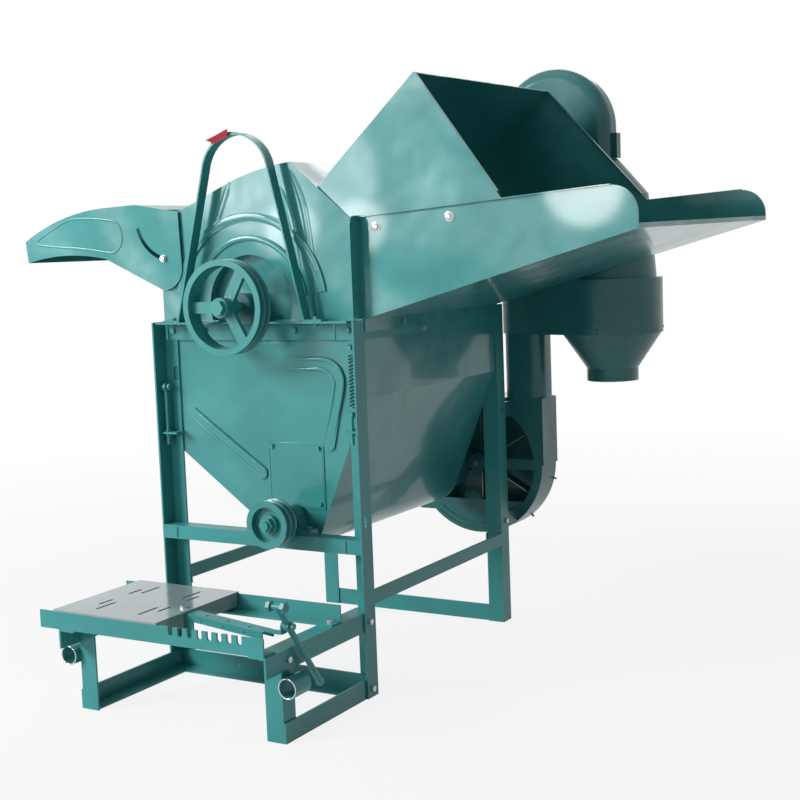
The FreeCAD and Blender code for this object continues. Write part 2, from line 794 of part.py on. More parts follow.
def feed_side(near_side):
    """Side panel of the feed hood, lapped inside the tray wall and standing on the hood slope."""
    low_x, apex_x = (feed_low_x, feed_apex_x) if near_side else (feed_far_low_x, feed_far_apex_x)
    apex_z = feed_roof_line(apex_x)
    foot_z = wall_top_z(low_x)
    points = [(feed_left_x, slope_line(feed_left_x)), (side_out, throat_top_z),
              (tray_inner_x + sheet, throat_top_z - feed_lap), (low_x, foot_z - feed_lap),
              (low_x, foot_z), (apex_x, apex_z)]
    panel = wall_solid(near_side, points, -sheet)
    lean = hypot(apex_x - low_x, apex_z - foot_z)
    step_x, step_z = (apex_x - low_x) / lean, (apex_z - foot_z) / lean
    start_x, start_z = low_x + step_x * tray_fold * 2, foot_z + step_z * tray_fold * 2
    lip = [(start_x, start_z), (apex_x, apex_z), (apex_x + step_z * sheet, apex_z - step_x * sheet),
           (start_x + step_z * sheet, start_z - step_x * sheet)]
    return fuse_all([panel, wall_solid(near_side, lip, -feed_lip)])


def feed_roof_line(x):
    foot_z = slope_line(feed_left_x)
    return foot_z + (x - feed_left_x) * (feed_apex_z - foot_z) / (feed_apex_x - feed_left_x)


def wall_y(near_side, x):
    (x0, y0), (x1, y1), way = wall_plane(near_side)
    return y0 + (x - x0) * (y1 - y0) / (x1 - x0)


def feed_roof():
    """Sloping roof of the feed hood between its two side panels."""
    corners = []
    for near_side, x in ((True, feed_left_x), (True, feed_apex_x),
                         (False, feed_far_apex_x), (False, feed_left_x)):
        inset = sheet if near_side else -sheet
        corners.append((x, wall_y(near_side, x) + inset, feed_roof_line(x)))
    return plane_solid(corners, sheet)


# Discharge spout on the left-hand side, hinged on a rod at the hood's edge.
spout_pivot_in = 34.0
spout_pivot_x = -side_out + spout_pivot_in
spout_pivot_rise = 229.0
spout_pivot_z = leg_height + spout_pivot_rise
spout_rod_r = 4.0
running_gap = 0.05
cheek_gap = 1.0
spout_tip_out = 398.0
spout_tip_x = -side_out - spout_tip_out
spout_tip_top_rise = 188.0
spout_tip_top_z = leg_height + spout_tip_top_rise
spout_tip_low_out = 392.0
spout_tip_low_x = -side_out - spout_tip_low_out
spout_tip_low_rise = 139.0
spout_tip_low_z = leg_height + spout_tip_low_rise
spout_back_out = 279.0
spout_back_x = -side_out - spout_back_out
spout_back_rise = 236.0
spout_back_z = leg_height + spout_back_rise
spout_crest_out = 160.0
spout_crest_x = -side_out - spout_crest_out
spout_crest_rise = 255.0
spout_crest_z = leg_height + spout_crest_rise
spout_neck_out = 64.0
spout_neck_x = -side_out - spout_neck_out
spout_neck_rise = 258.0
spout_neck_z = leg_height + spout_neck_rise
spout_root_in = 58.0
spout_root_x = -side_out + spout_root_in
spout_root_rise = 238.0
spout_root_z = leg_height + spout_root_rise
spout_heel_in = 62.0
spout_heel_x = -side_out + spout_heel_in
spout_heel_rise = 116.0
spout_heel_z = leg_height + spout_heel_rise
spout_toe_in = 6.0
spout_toe_x = -side_out + spout_toe_in
spout_toe_rise = 70.0
spout_toe_z = leg_height + spout_toe_rise
spout_heel_round = 22.0
spout_belly_out = 154.0
spout_belly_x = -side_out - spout_belly_out
spout_belly_rise = 142.0
spout_belly_z = leg_height + spout_belly_rise
spout_arch_out = 272.0
spout_arch_x = -side_out - spout_arch_out
spout_arch_rise = 153.0
spout_arch_z = leg_height + spout_arch_rise
spout_lip_out = 381.0
spout_lip_x = -side_out - spout_lip_out
spout_lip_rise = 142.0
spout_lip_z = leg_height + spout_lip_rise
spout_sheet_end_in = 21.0
spout_sheet_end_x = -side_out + spout_sheet_end_in
clamp_radius = 93.0
clamp_angle = 257.0
clamp_sweep = 61.0
clamp_play = 0.5

cheek_near_y = panel_front - rib_rise - cheek_gap
cheek_far_y = panel_rear + rib_rise + cheek_gap


def spout_top_edges(y, drop, end_x):
    """Upper edge of the spout from the tip to the hinge, moved down by a drop."""
    share = (end_x - spout_neck_x) / (spout_root_x - spout_neck_x)
    end_z = spout_neck_z + (spout_root_z - spout_neck_z) * share
    return [
        Part.Arc(V(spout_tip_x + drop, y, spout_tip_top_z - drop), V(spout_back_x, y, spout_back_z - drop),
                 V(spout_crest_x, y, spout_crest_z - drop)).toShape(),
        Part.makeLine(V(spout_crest_x, y, spout_crest_z - drop), V(spout_neck_x, y, spout_neck_z - drop)),
        Part.makeLine(V(spout_neck_x, y, spout_neck_z - drop), V(end_x, y, end_z - drop)),
    ], V(end_x, y, end_z - drop)


def spout_cheek(y0, y1):
    """Side plate with an arched lower edge, the hinge hole and the curved clamp slot."""
    top, root = spout_top_edges(y0, 0, spout_root_x)

    def at(x, z):
        return V(x, y0, z)

    middle_x = (spout_heel_x + spout_toe_x) / 2 + spout_heel_round / 2
    middle_z = (spout_heel_z + spout_toe_z) / 2 - spout_heel_round / 2
    edges = top + [
        Part.makeLine(root, at(spout_heel_x, spout_heel_z)),
        Part.Arc(at(spout_heel_x, spout_heel_z), at(middle_x, middle_z),
                 at(spout_toe_x, spout_toe_z)).toShape(),
        Part.makeLine(at(spout_toe_x, spout_toe_z), at(spout_belly_x, spout_belly_z)),
        Part.Arc(at(spout_belly_x, spout_belly_z), at(spout_arch_x, spout_arch_z),
                 at(spout_lip_x, spout_lip_z)).toShape(),
        Part.makeLine(at(spout_lip_x, spout_lip_z), at(spout_tip_low_x, spout_tip_low_z)),
        Part.makeLine(at(spout_tip_low_x, spout_tip_low_z), at(spout_tip_x, spout_tip_top_z)),
    ]
    plate = face_of(edges).extrude(V(0, y1 - y0, 0))
    a, b = y0 - overrun, y1 + overrun
    r = bolt_r + clamp_play
    slot = [sector_y(spout_pivot_x, spout_pivot_z, clamp_radius + r, clamp_radius - r,
                     clamp_angle - clamp_sweep, clamp_angle, a, b)]
    for angle in (clamp_angle - clamp_sweep, clamp_angle):
        x, z = polar(spout_pivot_x, spout_pivot_z, clamp_radius, angle)
        slot.append(rod_y(x, z, r, a, b))
    hinge = rod_y(spout_pivot_x, spout_pivot_z, spout_rod_r + running_gap, a, b)
    return plate.cut(fuse_all(slot)).cut(hinge)


def spout_cheeks():
    return Part.makeCompound([spout_cheek(cheek_near_y - sheet, cheek_near_y),
                              spout_cheek(cheek_far_y, cheek_far_y + sheet)])


def spout_top():
    """Bent sheet between the cheeks, turned down at the tip."""
    y = cheek_near_y
    upper, upper_end = spout_top_edges(y, 0, spout_sheet_end_x)
    lower, lower_end = spout_top_edges(y, sheet, spout_sheet_end_x)
    tip_low = V(spout_tip_low_x, y, spout_tip_low_z)
    tip_in = V(spout_tip_low_x + sheet, y, spout_tip_low_z)
    edges = upper + [
        Part.makeLine(upper_end, lower_end),
    ] + lower + [
        Part.makeLine(V(spout_tip_x + sheet, y, spout_tip_top_z - sheet), tip_in),
        Part.makeLine(tip_in, tip_low),
        Part.makeLine(tip_low, V(spout_tip_x, y, spout_tip_top_z)),
    ]
    outline = Part.Wire(Part.__sortEdges__(edges))
    return Part.Face(outline).extrude(V(0, cheek_far_y - cheek_near_y, 0))


def spout_rod():
    return rod_y(spout_pivot_x, spout_pivot_z, spout_rod_r, cheek_near_y - sheet, cheek_far_y + sheet)


def spout_clamp_bolts():
    """Clamp bolt at each cheek: the head stands just clear of the plate."""
    x, z = polar(spout_pivot_x, spout_pivot_z, clamp_radius, clamp_angle)
    bolts = []
    for face_y, panel_y, way in ((cheek_near_y - sheet, inner_front, 1),
                                 (cheek_far_y + sheet, inner_rear, -1)):
        start = face_y - way * hole_gap
        shank = rod_y(x, z, bolt_r, *sorted((start, panel_y)))
        washer = rod_y(x, z, bolt_r * 2, *sorted((start - way * sheet, start)))
        head = hexagon_rod((x, start - way * sheet, z), "y", bolt_r * bolt_head_share,
                           -way * bolt_head_height)
        nut = hexagon_rod((x, panel_y, z), "y", bolt_r * bolt_head_share, way * bolt_head_height)
        bolts.append(fuse_all([shank, washer, head, nut]))
        fixed_holes.append(rod_y(x, z, bolt_r + hole_gap, *sorted((start, panel_y + way * hole_gap))))
    return Part.makeCompound(bolts)


# Threshing drum: toothed bars on three discs, turning over the concave.
tooth_gap = 14.0
tooth_tip_r = concave_r - tooth_gap
tooth_height = 52.0
tooth_thick = 6.0
tooth_width = 26.0
bar_size = 30.0
bar_thick = 6.0
bar_count = 6
teeth_per_bar = 8
disc_in = 40.0
disc_r = tooth_tip_r - disc_in
disc_thick = 6.0
disc_hub_r = 30.0
disc_hub_length = 30.0
disc_web_in = 36.0
disc_web_out = 32.0
disc_hole_r = (disc_r - disc_hub_r - disc_web_in - disc_web_out) / 2
disc_hole_place = disc_hub_r + disc_web_in + disc_hole_r
drum_front_in = 44.0
drum_front_y = inner_front + drum_front_in
drum_rear_in = 39.0
drum_rear_y = inner_rear - drum_rear_in
shaft_front = 76.0
shaft_rear_out = 79.0
shaft_rear = rear_leg_y + shaft_rear_out


def drum_shaft():
    """Shaft with journals at both ends and a thicker middle that carries the discs."""
    front = drum_front_y - disc_thick
    middle = rod_y(drum_x, drum_z, drum_shaft_r, front, drum_rear_y + disc_thick)
    whole = rod_y(drum_x, drum_z, journal_r, -shaft_front, shaft_rear)
    nut_y = -pulley_front - pulley_hub_proud - bolt_head_height * 2
    nut = hexagon_rod((drum_x, nut_y, drum_z), "y", journal_r * bolt_head_share, bolt_head_height * 2)
    return fuse_all([middle, whole, nut])


def drum_rotor():
    """Discs, hubs, bars and staggered teeth in one welded rotor."""
    pieces = []
    length = drum_rear_y - drum_front_y
    bore = rod_y(drum_x, drum_z, drum_shaft_r, drum_front_y - overrun, drum_rear_y + overrun)
    places = [drum_front_y, drum_front_y + (length - disc_thick) / 2, drum_rear_y - disc_thick]
    for y in places:
        disc = rod_y(drum_x, drum_z, disc_r, y, y + disc_thick)
        holes = []
        for i in range(bar_count):
            x, z = polar(drum_x, drum_z, disc_hole_place, 360 / bar_count * (i + 0.5))
            holes.append(rod_y(x, z, disc_hole_r, y - overrun, y + disc_thick + overrun))
        pieces.append(disc.cut(fuse_all(holes)))
        hub_y = min(max(y - (disc_hub_length - disc_thick) / 2, drum_front_y), drum_rear_y - disc_hub_length)
        pieces.append(rod_y(drum_x, drum_z, disc_hub_r, hub_y, hub_y + disc_hub_length))
    pitch = (length - tooth_width) / (teeth_per_bar - 1 + (bar_count - 1) / bar_count)
    for i in range(bar_count):
        bar = box(drum_x + disc_r - bar_thick, drum_x + disc_r, drum_front_y, drum_rear_y,
                  drum_z - bar_size / 2, drum_z + bar_size / 2)
        teeth = [bar]
        for k in range(teeth_per_bar):
            y = drum_front_y + pitch * (k + i / bar_count)
            teeth.append(box(drum_x + tooth_tip_r - tooth_height, drum_x + tooth_tip_r,
                             y, y + tooth_width, drum_z - tooth_thick / 2, drum_z + tooth_thick / 2))
        row = fuse_all(teeth)
        row.rotate(V(drum_x, 0, drum_z), V(0, 1, 0), -360 / bar_count * i)
        pieces.append(row)
    return fuse_all(pieces).cut(bore)


# V-belt pulleys on the two shafts.
big_pulley_r = 99.0
big_pulley_rim = 13.0
small_pulley_r = 50.0
pulley_width = 38.0
pulley_front = 62.0
small_pulley_front = 70.0
pulley_hub_proud = 6.0
hub_r = 21.0
groove_depth = 9.0
groove_top = 13.0
groove_bottom = 6.0
groove_count = 2
spoke_width = 24.0
spoke_thick = 10.0
small_web_in = 14.0
small_web_thick = 10.0


def grooved_rim(x, z, r_out, r_in, y0):
    """Pulley rim turned from one profile with V grooves."""
    points = [(r_in, y0), (r_out, y0)]
    land = (pulley_width - groove_count * groove_top) / (groove_count + 1)
    y = y0
    for i in range(groove_count):
        y += land
        middle = y + groove_top / 2
        points += [(r_out, y), (r_out - groove_depth, middle - groove_bottom / 2),
                   (r_out - groove_depth, middle + groove_bottom / 2), (r_out, y + groove_top)]
        y += groove_top
    points += [(r_out, y0 + pulley_width), (r_in, y0 + pulley_width)]
    outline = [V(x + r, y, z) for r, y in points]
    return face_of(polygon_edges(outline)).revolve(V(x, 0, z), V(0, 1, 0), 360)


def drum_pulley():
    """Large pulley: grooved rim, three flat spokes and a hub."""
    y0 = -pulley_front
    rim = grooved_rim(drum_x, drum_z, big_pulley_r, big_pulley_r - big_pulley_rim, y0)
    hub = rod_y(drum_x, drum_z, hub_r, y0 - pulley_hub_proud, y0 + pulley_width)
    spokes = []
    middle = y0 + pulley_width / 2
    for angle in (180, 60, -60):
        spoke = box(drum_x, drum_x + big_pulley_r - big_pulley_rim / 2, middle - spoke_thick / 2,
                    middle + spoke_thick / 2, drum_z - spoke_width / 2, drum_z + spoke_width / 2)
        spoke.rotate(V(drum_x, 0, drum_z), V(0, 1, 0), -angle)
        spokes.append(spoke)
    ring = ring_y(drum_x, drum_z, big_pulley_r + overrun, big_pulley_r - big_pulley_rim * 0.8,
                  y0 - overrun, y0 + pulley_width + overrun)
    spokes = [s.cut(ring) for s in spokes]
    bore = rod_y(drum_x, drum_z, journal_r, y0 - pulley_hub_proud - overrun, y0 + pulley_width + overrun)
    return fuse_all([rim, hub] + spokes).cut(bore)


def auger_pulley():
    """Small pulley with a dished web set back from its front rim."""
    y0 = -small_pulley_front
    rim = grooved_rim(auger_x, auger_z, small_pulley_r, small_pulley_r - groove_depth - sheet * 2, y0)
    web = rod_y(auger_x, auger_z, small_pulley_r - groove_depth - sheet, y0 + small_web_in,
                y0 + small_web_in + small_web_thick)
    hub = rod_y(auger_x, auger_z, hub_r, y0 + pulley_hub_proud, y0 + pulley_width)
    bore = rod_y(auger_x, auger_z, journal_r, y0 - overrun, y0 + pulley_width + overrun)
    return fuse_all([rim, web, hub]).cut(bore)


# Collecting auger in the trough.
auger_r = 62.0
auger_turns = 5.5
auger_far_gap = 33.0
auger_start_in = 28.0
auger_start_y = inner_front + auger_start_in
auger_pitch = (inner_rear - auger_far_gap - auger_start_y) / auger_turns
flight_thick = 3.0
flight_steps = 24
auger_end_out = 31.0
auger_end_y = rear_leg_y + auger_end_out


def auger_shaft():
    whole = rod_y(auger_x, auger_z, journal_r, -small_pulley_front - bolt_head_height * 2, auger_end_y)
    nut_y = -small_pulley_front + pulley_hub_proud - bolt_head_height * 2
    nut = hexagon_rod((auger_x, nut_y, auger_z), "y", journal_r * bolt_head_share, bolt_head_height * 2)
    return fuse_all([whole, nut])


def auger_flight():
    """Sheet flight wound round the shaft, faceted in equal steps of each turn."""
    steps = round(auger_turns * flight_steps)
    inner, outer = journal_r + hole_gap, auger_r

    def at(r, k, lift):
        x, z = polar(auger_x, auger_z, r, 360 * k / flight_steps)
        return V(x, auger_start_y + auger_pitch * k / flight_steps + lift, z)

    def sheet_face(*corners):
        return Part.Face(Part.makePolygon(list(corners) + [corners[0]]))

    faces = []
    for k in range(steps):
        for lift in (0, flight_thick):
            a, b = at(inner, k, lift), at(outer, k, lift)
            c, d = at(outer, k + 1, lift), at(inner, k + 1, lift)
            faces += [sheet_face(a, b, c), sheet_face(a, c, d)]
        for r in (inner, outer):
            faces.append(sheet_face(at(r, k, 0), at(r, k + 1, 0), at(r, k + 1, flight_thick),
                                    at(r, k, flight_thick)))
    for k in (0, steps):
        faces.append(sheet_face(at(inner, k, 0), at(outer, k, 0), at(outer, k, flight_thick),
                                at(inner, k, flight_thick)))
    solid = Part.makeSolid(Part.makeShell(faces))
    if solid.Volume < 0:
        solid.reverse()
    return solid


# Concave under the drum.
concave_bar_r = 5.0
concave_start = 197.0
concave_stop = 343.0
concave_bar_count = 13
concave_rib_thick = 5.0


def concave():
    """Round bars along the drum held by three curved ribs."""
    ribs = []
    places = [inner_front, (inner_front + inner_rear - concave_rib_thick) / 2,
              inner_rear - concave_rib_thick]
    for y in places:
        ribs.append(sector_y(drum_x, drum_z, concave_r + concave_rib_depth, concave_r,
                             concave_start, concave_stop, y, y + concave_rib_thick))
    bars = []
    margin = degrees(concave_bar_r * 2 / concave_r)
    step = (concave_stop - concave_start - 2 * margin) / (concave_bar_count - 1)
    for i in range(concave_bar_count):
        x, z = polar(drum_x, drum_z, concave_r + concave_rib_depth / 2, concave_start + margin + i * step)
        bars.append(rod_y(x, z, concave_bar_r, inner_front, inner_rear))
    return fuse_all(ribs + bars)


# Pillow blocks of both shafts.
block_half = 58.0
block_depth = 30.0
block_base_height = 12.0
block_round = 27.0
block_shoulder = 36.0
block_bolt_reach = 46.0
block_bolt_r = 5.0


def pillow_block(x, z, y0):
    """Cast bearing block with a flat foot, a round housing and two foot bolts."""
    seat = z - shaft_block_height
    y1 = y0 + block_depth
    foot = box(x - block_half, x + block_half, y0, y1, seat, seat + block_base_height)
    neck = prism_y([(x - block_shoulder, seat + block_base_height), (x + block_shoulder, seat + block_base_height),
                    (x + block_round, z), (x - block_round, z)], y0, y1)
    housing = rod_y(x, z, block_round, y0, y1)
    bore = rod_y(x, z, journal_r + running_gap, y0 - overrun, y1 + overrun)
    for side in (-1, 1):
        bolt("z", x + side * block_bolt_reach, (y0 + y1) / 2, seat + block_base_height,
             seat - angle_wall, block_bolt_r)
    return fuse_all([foot, neck, housing]).cut(bore)


def bearing_blocks():
    margin = (angle_size - angle_wall - block_depth) / 2
    front = margin
    rear = rear_leg_y + 2 * angle_wall + margin
    return Part.makeCompound([pillow_block(drum_x, drum_z, front), pillow_block(drum_x, drum_z, rear),
                              pillow_block(auger_x, auger_z, front)])


# Blower behind the frame, lifting the grain into the separator.
fan_standoff = 58.0
fan_x = 150.0
fan_rise = 45.0
fan_z = mid_beam_top + fan_rise
fan_r = 177.0
fan_depth = 84.0
fan_mouth_r = 155.0
fan_mouth_low_drop = 93.0
fan_mouth_low_z = fan_z - fan_mouth_low_drop
fan_skirt_x = -56.0
fan_skirt_low_drop = 125.0
fan_skirt_low_z = fan_z - fan_skirt_low_drop
fan_skirt_high_drop = 69.0
fan_skirt_high_z = fan_z - fan_skirt_high_drop
fan_bar_height = 26.0
fan_rib_shares = (3, 10)
fan_rib_start = 228.0
fan_rib_stop = 300.0
fan_boss_r = 24.0
fan_shaft_r = 8.0
fan_blade_r = 142.0
fan_hub_r = 22.0
fan_blade_count = 6
fan_side_gap = 12.0
fan_pulley_r = 36.0
fan_outlet_rise = 165.0
fan_outlet_z = fan_z + fan_outlet_rise
duct_x = 279.0
duct_half = 52.5
duct_corner = 30.0
elbow_radius = 91.5
elbow_rise = 407.0
elbow_z = leg_height + elbow_rise
leg_low_rise = 331.0
leg_low_z = leg_height + leg_low_rise

fan_front = rear_back + fan_standoff
fan_rear = fan_front + fan_depth
duct_y = fan_front + fan_depth / 2
duct_deep = fan_depth / 2


def scroll_body(grow, y0, y1):
    """Round fan case with a straight outlet on its right-hand side, thinner by one wall inside."""
    r = fan_r - grow
    case = rod_y(fan_x, fan_z, r, y0, y1)
    right = duct_x + duct_half - grow
    left = duct_x - duct_half + grow
    outlet = box(left, right, y0, y1, fan_z, fan_outlet_z + (overrun if grow else 0))
    return fuse_all([case, outlet])


def fan_housing():
    """Scroll case: open mouth with a bearing bar in front, closed plate behind."""
    case = scroll_body(0, fan_front, fan_rear)
    hollow = scroll_body(sheet, fan_front + sheet, fan_rear - sheet)
    skirt_mid = (fan_skirt_low_z + fan_skirt_high_z) / 2
    skirt = prism_y([(fan_skirt_x, fan_skirt_high_z), (fan_skirt_x, skirt_mid),
                     (fan_skirt_x + angle_size, fan_skirt_low_z), (fan_x, fan_skirt_low_z),
                     (fan_x, fan_skirt_high_z)], fan_front, fan_front + sheet)
    mouth = rod_y(fan_x, fan_z, fan_mouth_r, fan_front - overrun, fan_front + sheet + overrun)
    below = box(fan_x - fan_r, fan_x + fan_r, fan_front - 2 * overrun, fan_front + sheet + 2 * overrun,
                0, fan_mouth_low_z)
    whole = fuse_all([case, skirt]).cut(hollow).cut(mouth.cut(below))
    ribs = []
    for share in fan_rib_shares:
        r = fan_r - share * sheet
        ribs.append(sector_y(fan_x, fan_z, r, r - 2 * sheet, fan_rib_start, fan_rib_stop,
                             fan_front - sheet, fan_front))
    bar = box(fan_x - fan_r, fan_x + fan_r, fan_front + sheet, fan_front + 3 * sheet,
              fan_z - fan_bar_height / 2, fan_z + fan_bar_height / 2)
    boss = rod_y(fan_x, fan_z, fan_boss_r, fan_front - sheet, fan_front + fan_side_gap)
    boss_rear = rod_y(fan_x, fan_z, fan_boss_r, fan_rear - fan_side_gap, fan_rear + sheet)
    inner = rod_y(fan_x, fan_z, fan_r - sheet / 2, fan_front + sheet, fan_front + 3 * sheet)
    bore = rod_y(fan_x, fan_z, fan_shaft_r + running_gap, fan_front - 2 * angle_size,
                 fan_rear + 2 * angle_size)
    return fuse_all([whole, bar.common(inner), boss, boss_rear] + ribs).cut(bore)


def fan_rotor():
    """Hub with radial blades, its shaft and the driven pulley behind the case."""
    y0, y1 = fan_front + 2 * fan_side_gap, fan_rear - 2 * fan_side_gap
    hub = rod_y(fan_x, fan_z, fan_hub_r, y0, y1)
    shaft = rod_y(fan_x, fan_z, fan_shaft_r, fan_front - fan_side_gap, fan_rear + angle_size)
    pulley = rod_y(fan_x, fan_z, fan_pulley_r, fan_rear + fan_side_gap, fan_rear + 2 * fan_side_gap)
    blades = []
    for i in range(fan_blade_count):
        blade = box(fan_x, fan_x + fan_blade_r, y0, y1, fan_z - sheet / 2, fan_z + sheet / 2)
        blade.rotate(V(fan_x, 0, fan_z), V(0, 1, 0), -360 / fan_blade_count * (i + 0.5))
        blades.append(blade)
    return fuse_all([hub, shaft, pulley] + blades)


def rounded_section(x, half_x, half_y, corner, z):
    """Rounded rectangle wire about the duct axis, in the level plane at z."""
    edges = []
    k = corner * (1 - cos(radians(45)))
    x0, x1 = x - half_x, x + half_x
    y0, y1 = duct_y - half_y, duct_y + half_y
    edges.append(Part.makeLine(V(x0 + corner, y0, z), V(x1 - corner, y0, z)))
    edges.append(Part.Arc(V(x1 - corner, y0, z), V(x1 - k, y0 + k, z), V(x1, y0 + corner, z)).toShape())
    edges.append(Part.makeLine(V(x1, y0 + corner, z), V(x1, y1 - corner, z)))
    edges.append(Part.Arc(V(x1, y1 - corner, z), V(x1 - k, y1 - k, z), V(x1 - corner, y1, z)).toShape())
    edges.append(Part.makeLine(V(x1 - corner, y1, z), V(x0 + corner, y1, z)))
    edges.append(Part.Arc(V(x0 + corner, y1, z), V(x0 + k, y1 - k, z), V(x0, y1 - corner, z)).toShape())
    edges.append(Part.makeLine(V(x0, y1 - corner, z), V(x0, y0 + corner, z)))
    edges.append(Part.Arc(V(x0, y0 + corner, z), V(x0 + k, y0 + k, z), V(x0 + corner, y0, z)).toShape())
    return Part.Wire(edges)


def duct_solid(x, inset, z0, z1):
    section = rounded_section(x, duct_half - inset, duct_deep - inset, duct_corner - inset, z0)
    return Part.Face(section).extrude(V(0, 0, z1 - z0))


def riser_duct():
    outer = duct_solid(duct_x, 0, fan_outlet_z, elbow_z)
    return outer.cut(duct_solid(duct_x, sheet, fan_outlet_z - overrun, elbow_z + overrun))


def half_section(way):
    """Front or rear half of the duct wall as one closed C, in the level plane where the bend starts."""
    z = elbow_z

    def side(inset):
        x0, x1 = duct_x - duct_half + inset, duct_x + duct_half - inset
        reach, corner = duct_deep - inset, duct_corner - inset
        k = corner * (1 - cos(radians(45)))

        def at(x, out):
            return V(x, duct_y + way * out, z)

        return [
            Part.makeLine(at(x0, seam_gap), at(x0, reach - corner)),
            Part.Arc(at(x0, reach - corner), at(x0 + k, reach - k), at(x0 + corner, reach)).toShape(),
            Part.makeLine(at(x0 + corner, reach), at(x1 - corner, reach)),
            Part.Arc(at(x1 - corner, reach), at(x1 - k, reach - k), at(x1, reach - corner)).toShape(),
            Part.makeLine(at(x1, reach - corner), at(x1, seam_gap)),
        ], at(x0, seam_gap), at(x1, seam_gap)

    outer, outer_left, outer_right = side(0)
    inner, inner_left, inner_right = side(sheet)
    ring = outer + [Part.makeLine(outer_right, inner_right)] + inner + [Part.makeLine(inner_left, outer_left)]
    return Part.Wire(Part.__sortEdges__(ring))


def discharge_elbow():
    """Bend from the riser over and down into the separator, in two pressed halves with a seam clip."""
    x1 = duct_x + 2 * elbow_radius
    start, stop = V(duct_x, duct_y, elbow_z), V(x1, duct_y, elbow_z)
    crown = V(duct_x + elbow_radius, duct_y, elbow_z + elbow_radius)
    edges = [Part.Arc(start, crown, stop).toShape(), Part.makeLine(stop, V(x1, duct_y, leg_low_z))]
    halves = []
    for way in (-1, 1):
        half = Part.Wire(edges).makePipeShell([half_section(way)], True, False)
        halves.append(half.fuse(elbow_clip(way)))
    return Part.makeCompound(halves)


def elbow_clip(way):
    """One half's side of the clip on the outer seam."""
    x = duct_x + 2 * elbow_radius + duct_half
    return box(x, x + clip_depth, *sorted((duct_y + way * seam_gap, duct_y + way * clip_depth)),
               leg_low_z + sheet, leg_low_z + clip_height)


clip_depth = 12.0
clip_height = 60.0
barrel_x = 500.0
barrel_top_r = 92.0
barrel_low_r = 118.0
barrel_top_rise = 248.0
barrel_top_z = leg_height + barrel_top_rise
barrel_low_drop = 76.0
barrel_low_z = leg_height - barrel_low_drop
cap_r = 59.0
cone_lap_share = 1.5
shroud_high_rise = 53.0
shroud_high_z = leg_height + shroud_high_rise
shroud_small_r = 60.0
shroud_small_x = 279.0
shroud_big_r = 121.0
right_angle = 90.0
seam_gap = 0.05
outlet_r = 61.0
cone_low_drop = 160.0
cone_low_z = leg_height - cone_low_drop
spigot_low_drop = 190.0
spigot_low_z = leg_height - spigot_low_drop


def circle_wire(x, r, z):
    return Part.Wire(Part.makeCircle(r, V(x, duct_y, z), V(0, 0, 1)))


def barrel_body(inset):
    """Sloping cover over a slowly widening barrel."""
    extra = overrun if inset else 0
    cover = Part.makeLoft([circle_wire(barrel_x, barrel_top_r - inset, barrel_top_z),
                           circle_wire(duct_x + 2 * elbow_radius, cap_r - inset, leg_low_z - inset)],
                          True, True)
    barrel = Part.makeLoft([circle_wire(barrel_x, barrel_low_r - inset, barrel_low_z - extra),
                            circle_wire(barrel_x, barrel_top_r - inset, barrel_top_z)], True, True)
    return cover, barrel


def shroud_half(inset, way, back):
    """Half of the band's outline drawn upwards; the back reaches past the middle plane."""
    z0, z1 = barrel_low_z + inset, shroud_high_z - inset
    small, big = shroud_small_r - inset, shroud_big_r - inset
    lean = (big - small) / (barrel_x - shroud_small_x)
    tangent = degrees(asin((1 - lean * lean) ** 0.5))

    def rim(x, r, angle):
        px, py = x - r * cos(radians(angle)), duct_y + way * r * sin(radians(angle))
        return V(px, py, z0)

    left, right = rim(shroud_small_x, small, 0), rim(barrel_x, big, 2 * right_angle)
    left_back, right_back = left - V(0, way * back, 0), right - V(0, way * back, 0)
    small_end, big_start = rim(shroud_small_x, small, tangent), rim(barrel_x, big, tangent)
    edges = [
        Part.Arc(left, rim(shroud_small_x, small, tangent / 2), small_end).toShape(),
        Part.makeLine(small_end, big_start),
        Part.Arc(big_start, rim(barrel_x, big, right_angle + tangent / 2), right).toShape(),
    ]
    edges += [Part.makeLine(right, left)] if not back else [
        Part.makeLine(right, right_back), Part.makeLine(right_back, left_back),
        Part.makeLine(left_back, left)]
    return face_of(edges).extrude(V(0, 0, z1 - z0))


def cyclone_shell():
    cover, barrel = barrel_body(0)
    cover_in, barrel_in = barrel_body(sheet)
    shell = fuse_all([cover, barrel]).cut(barrel_in).cut(cover_in)
    throat = duct_solid(duct_x + 2 * elbow_radius, sheet, leg_low_z - angle_size / 2,
                        leg_low_z + angle_size)
    return shell.cut(throat)


def cyclone_shroud():
    """Band round the riser and the barrel, in two halves that are closed above and below."""
    cover, barrel = barrel_body(0)
    riser = duct_solid(duct_x, 0, barrel_low_z - angle_size, shroud_high_z + angle_size)
    seam = box(shroud_small_x - shroud_big_r, barrel_x + 2 * shroud_big_r, duct_y - seam_gap,
               duct_y + seam_gap, barrel_low_z - overrun, shroud_high_z + overrun)
    halves = []
    for way in (-1, 1):
        hollow = shroud_half(sheet, way, overrun)
        halves.append(shroud_half(0, way, 0).cut(hollow).cut(barrel).cut(riser).cut(seam))
    return halves


def cyclone_cone():
    """Grain cone and spigot turned from one wall profile."""
    top, low = barrel_low_r, outlet_r
    points = [(top, barrel_low_z), (low, cone_low_z), (low, spigot_low_z),
              (low - sheet, spigot_low_z), (low - sheet, cone_low_z + sheet / 2),
              (top - sheet * cone_lap_share, barrel_low_z)]
    outline = [V(barrel_x + r, duct_y, z) for r, z in points]
    return face_of(polygon_edges(outline)).revolve(V(barrel_x, duct_y, 0), V(0, 0, 1), 360)


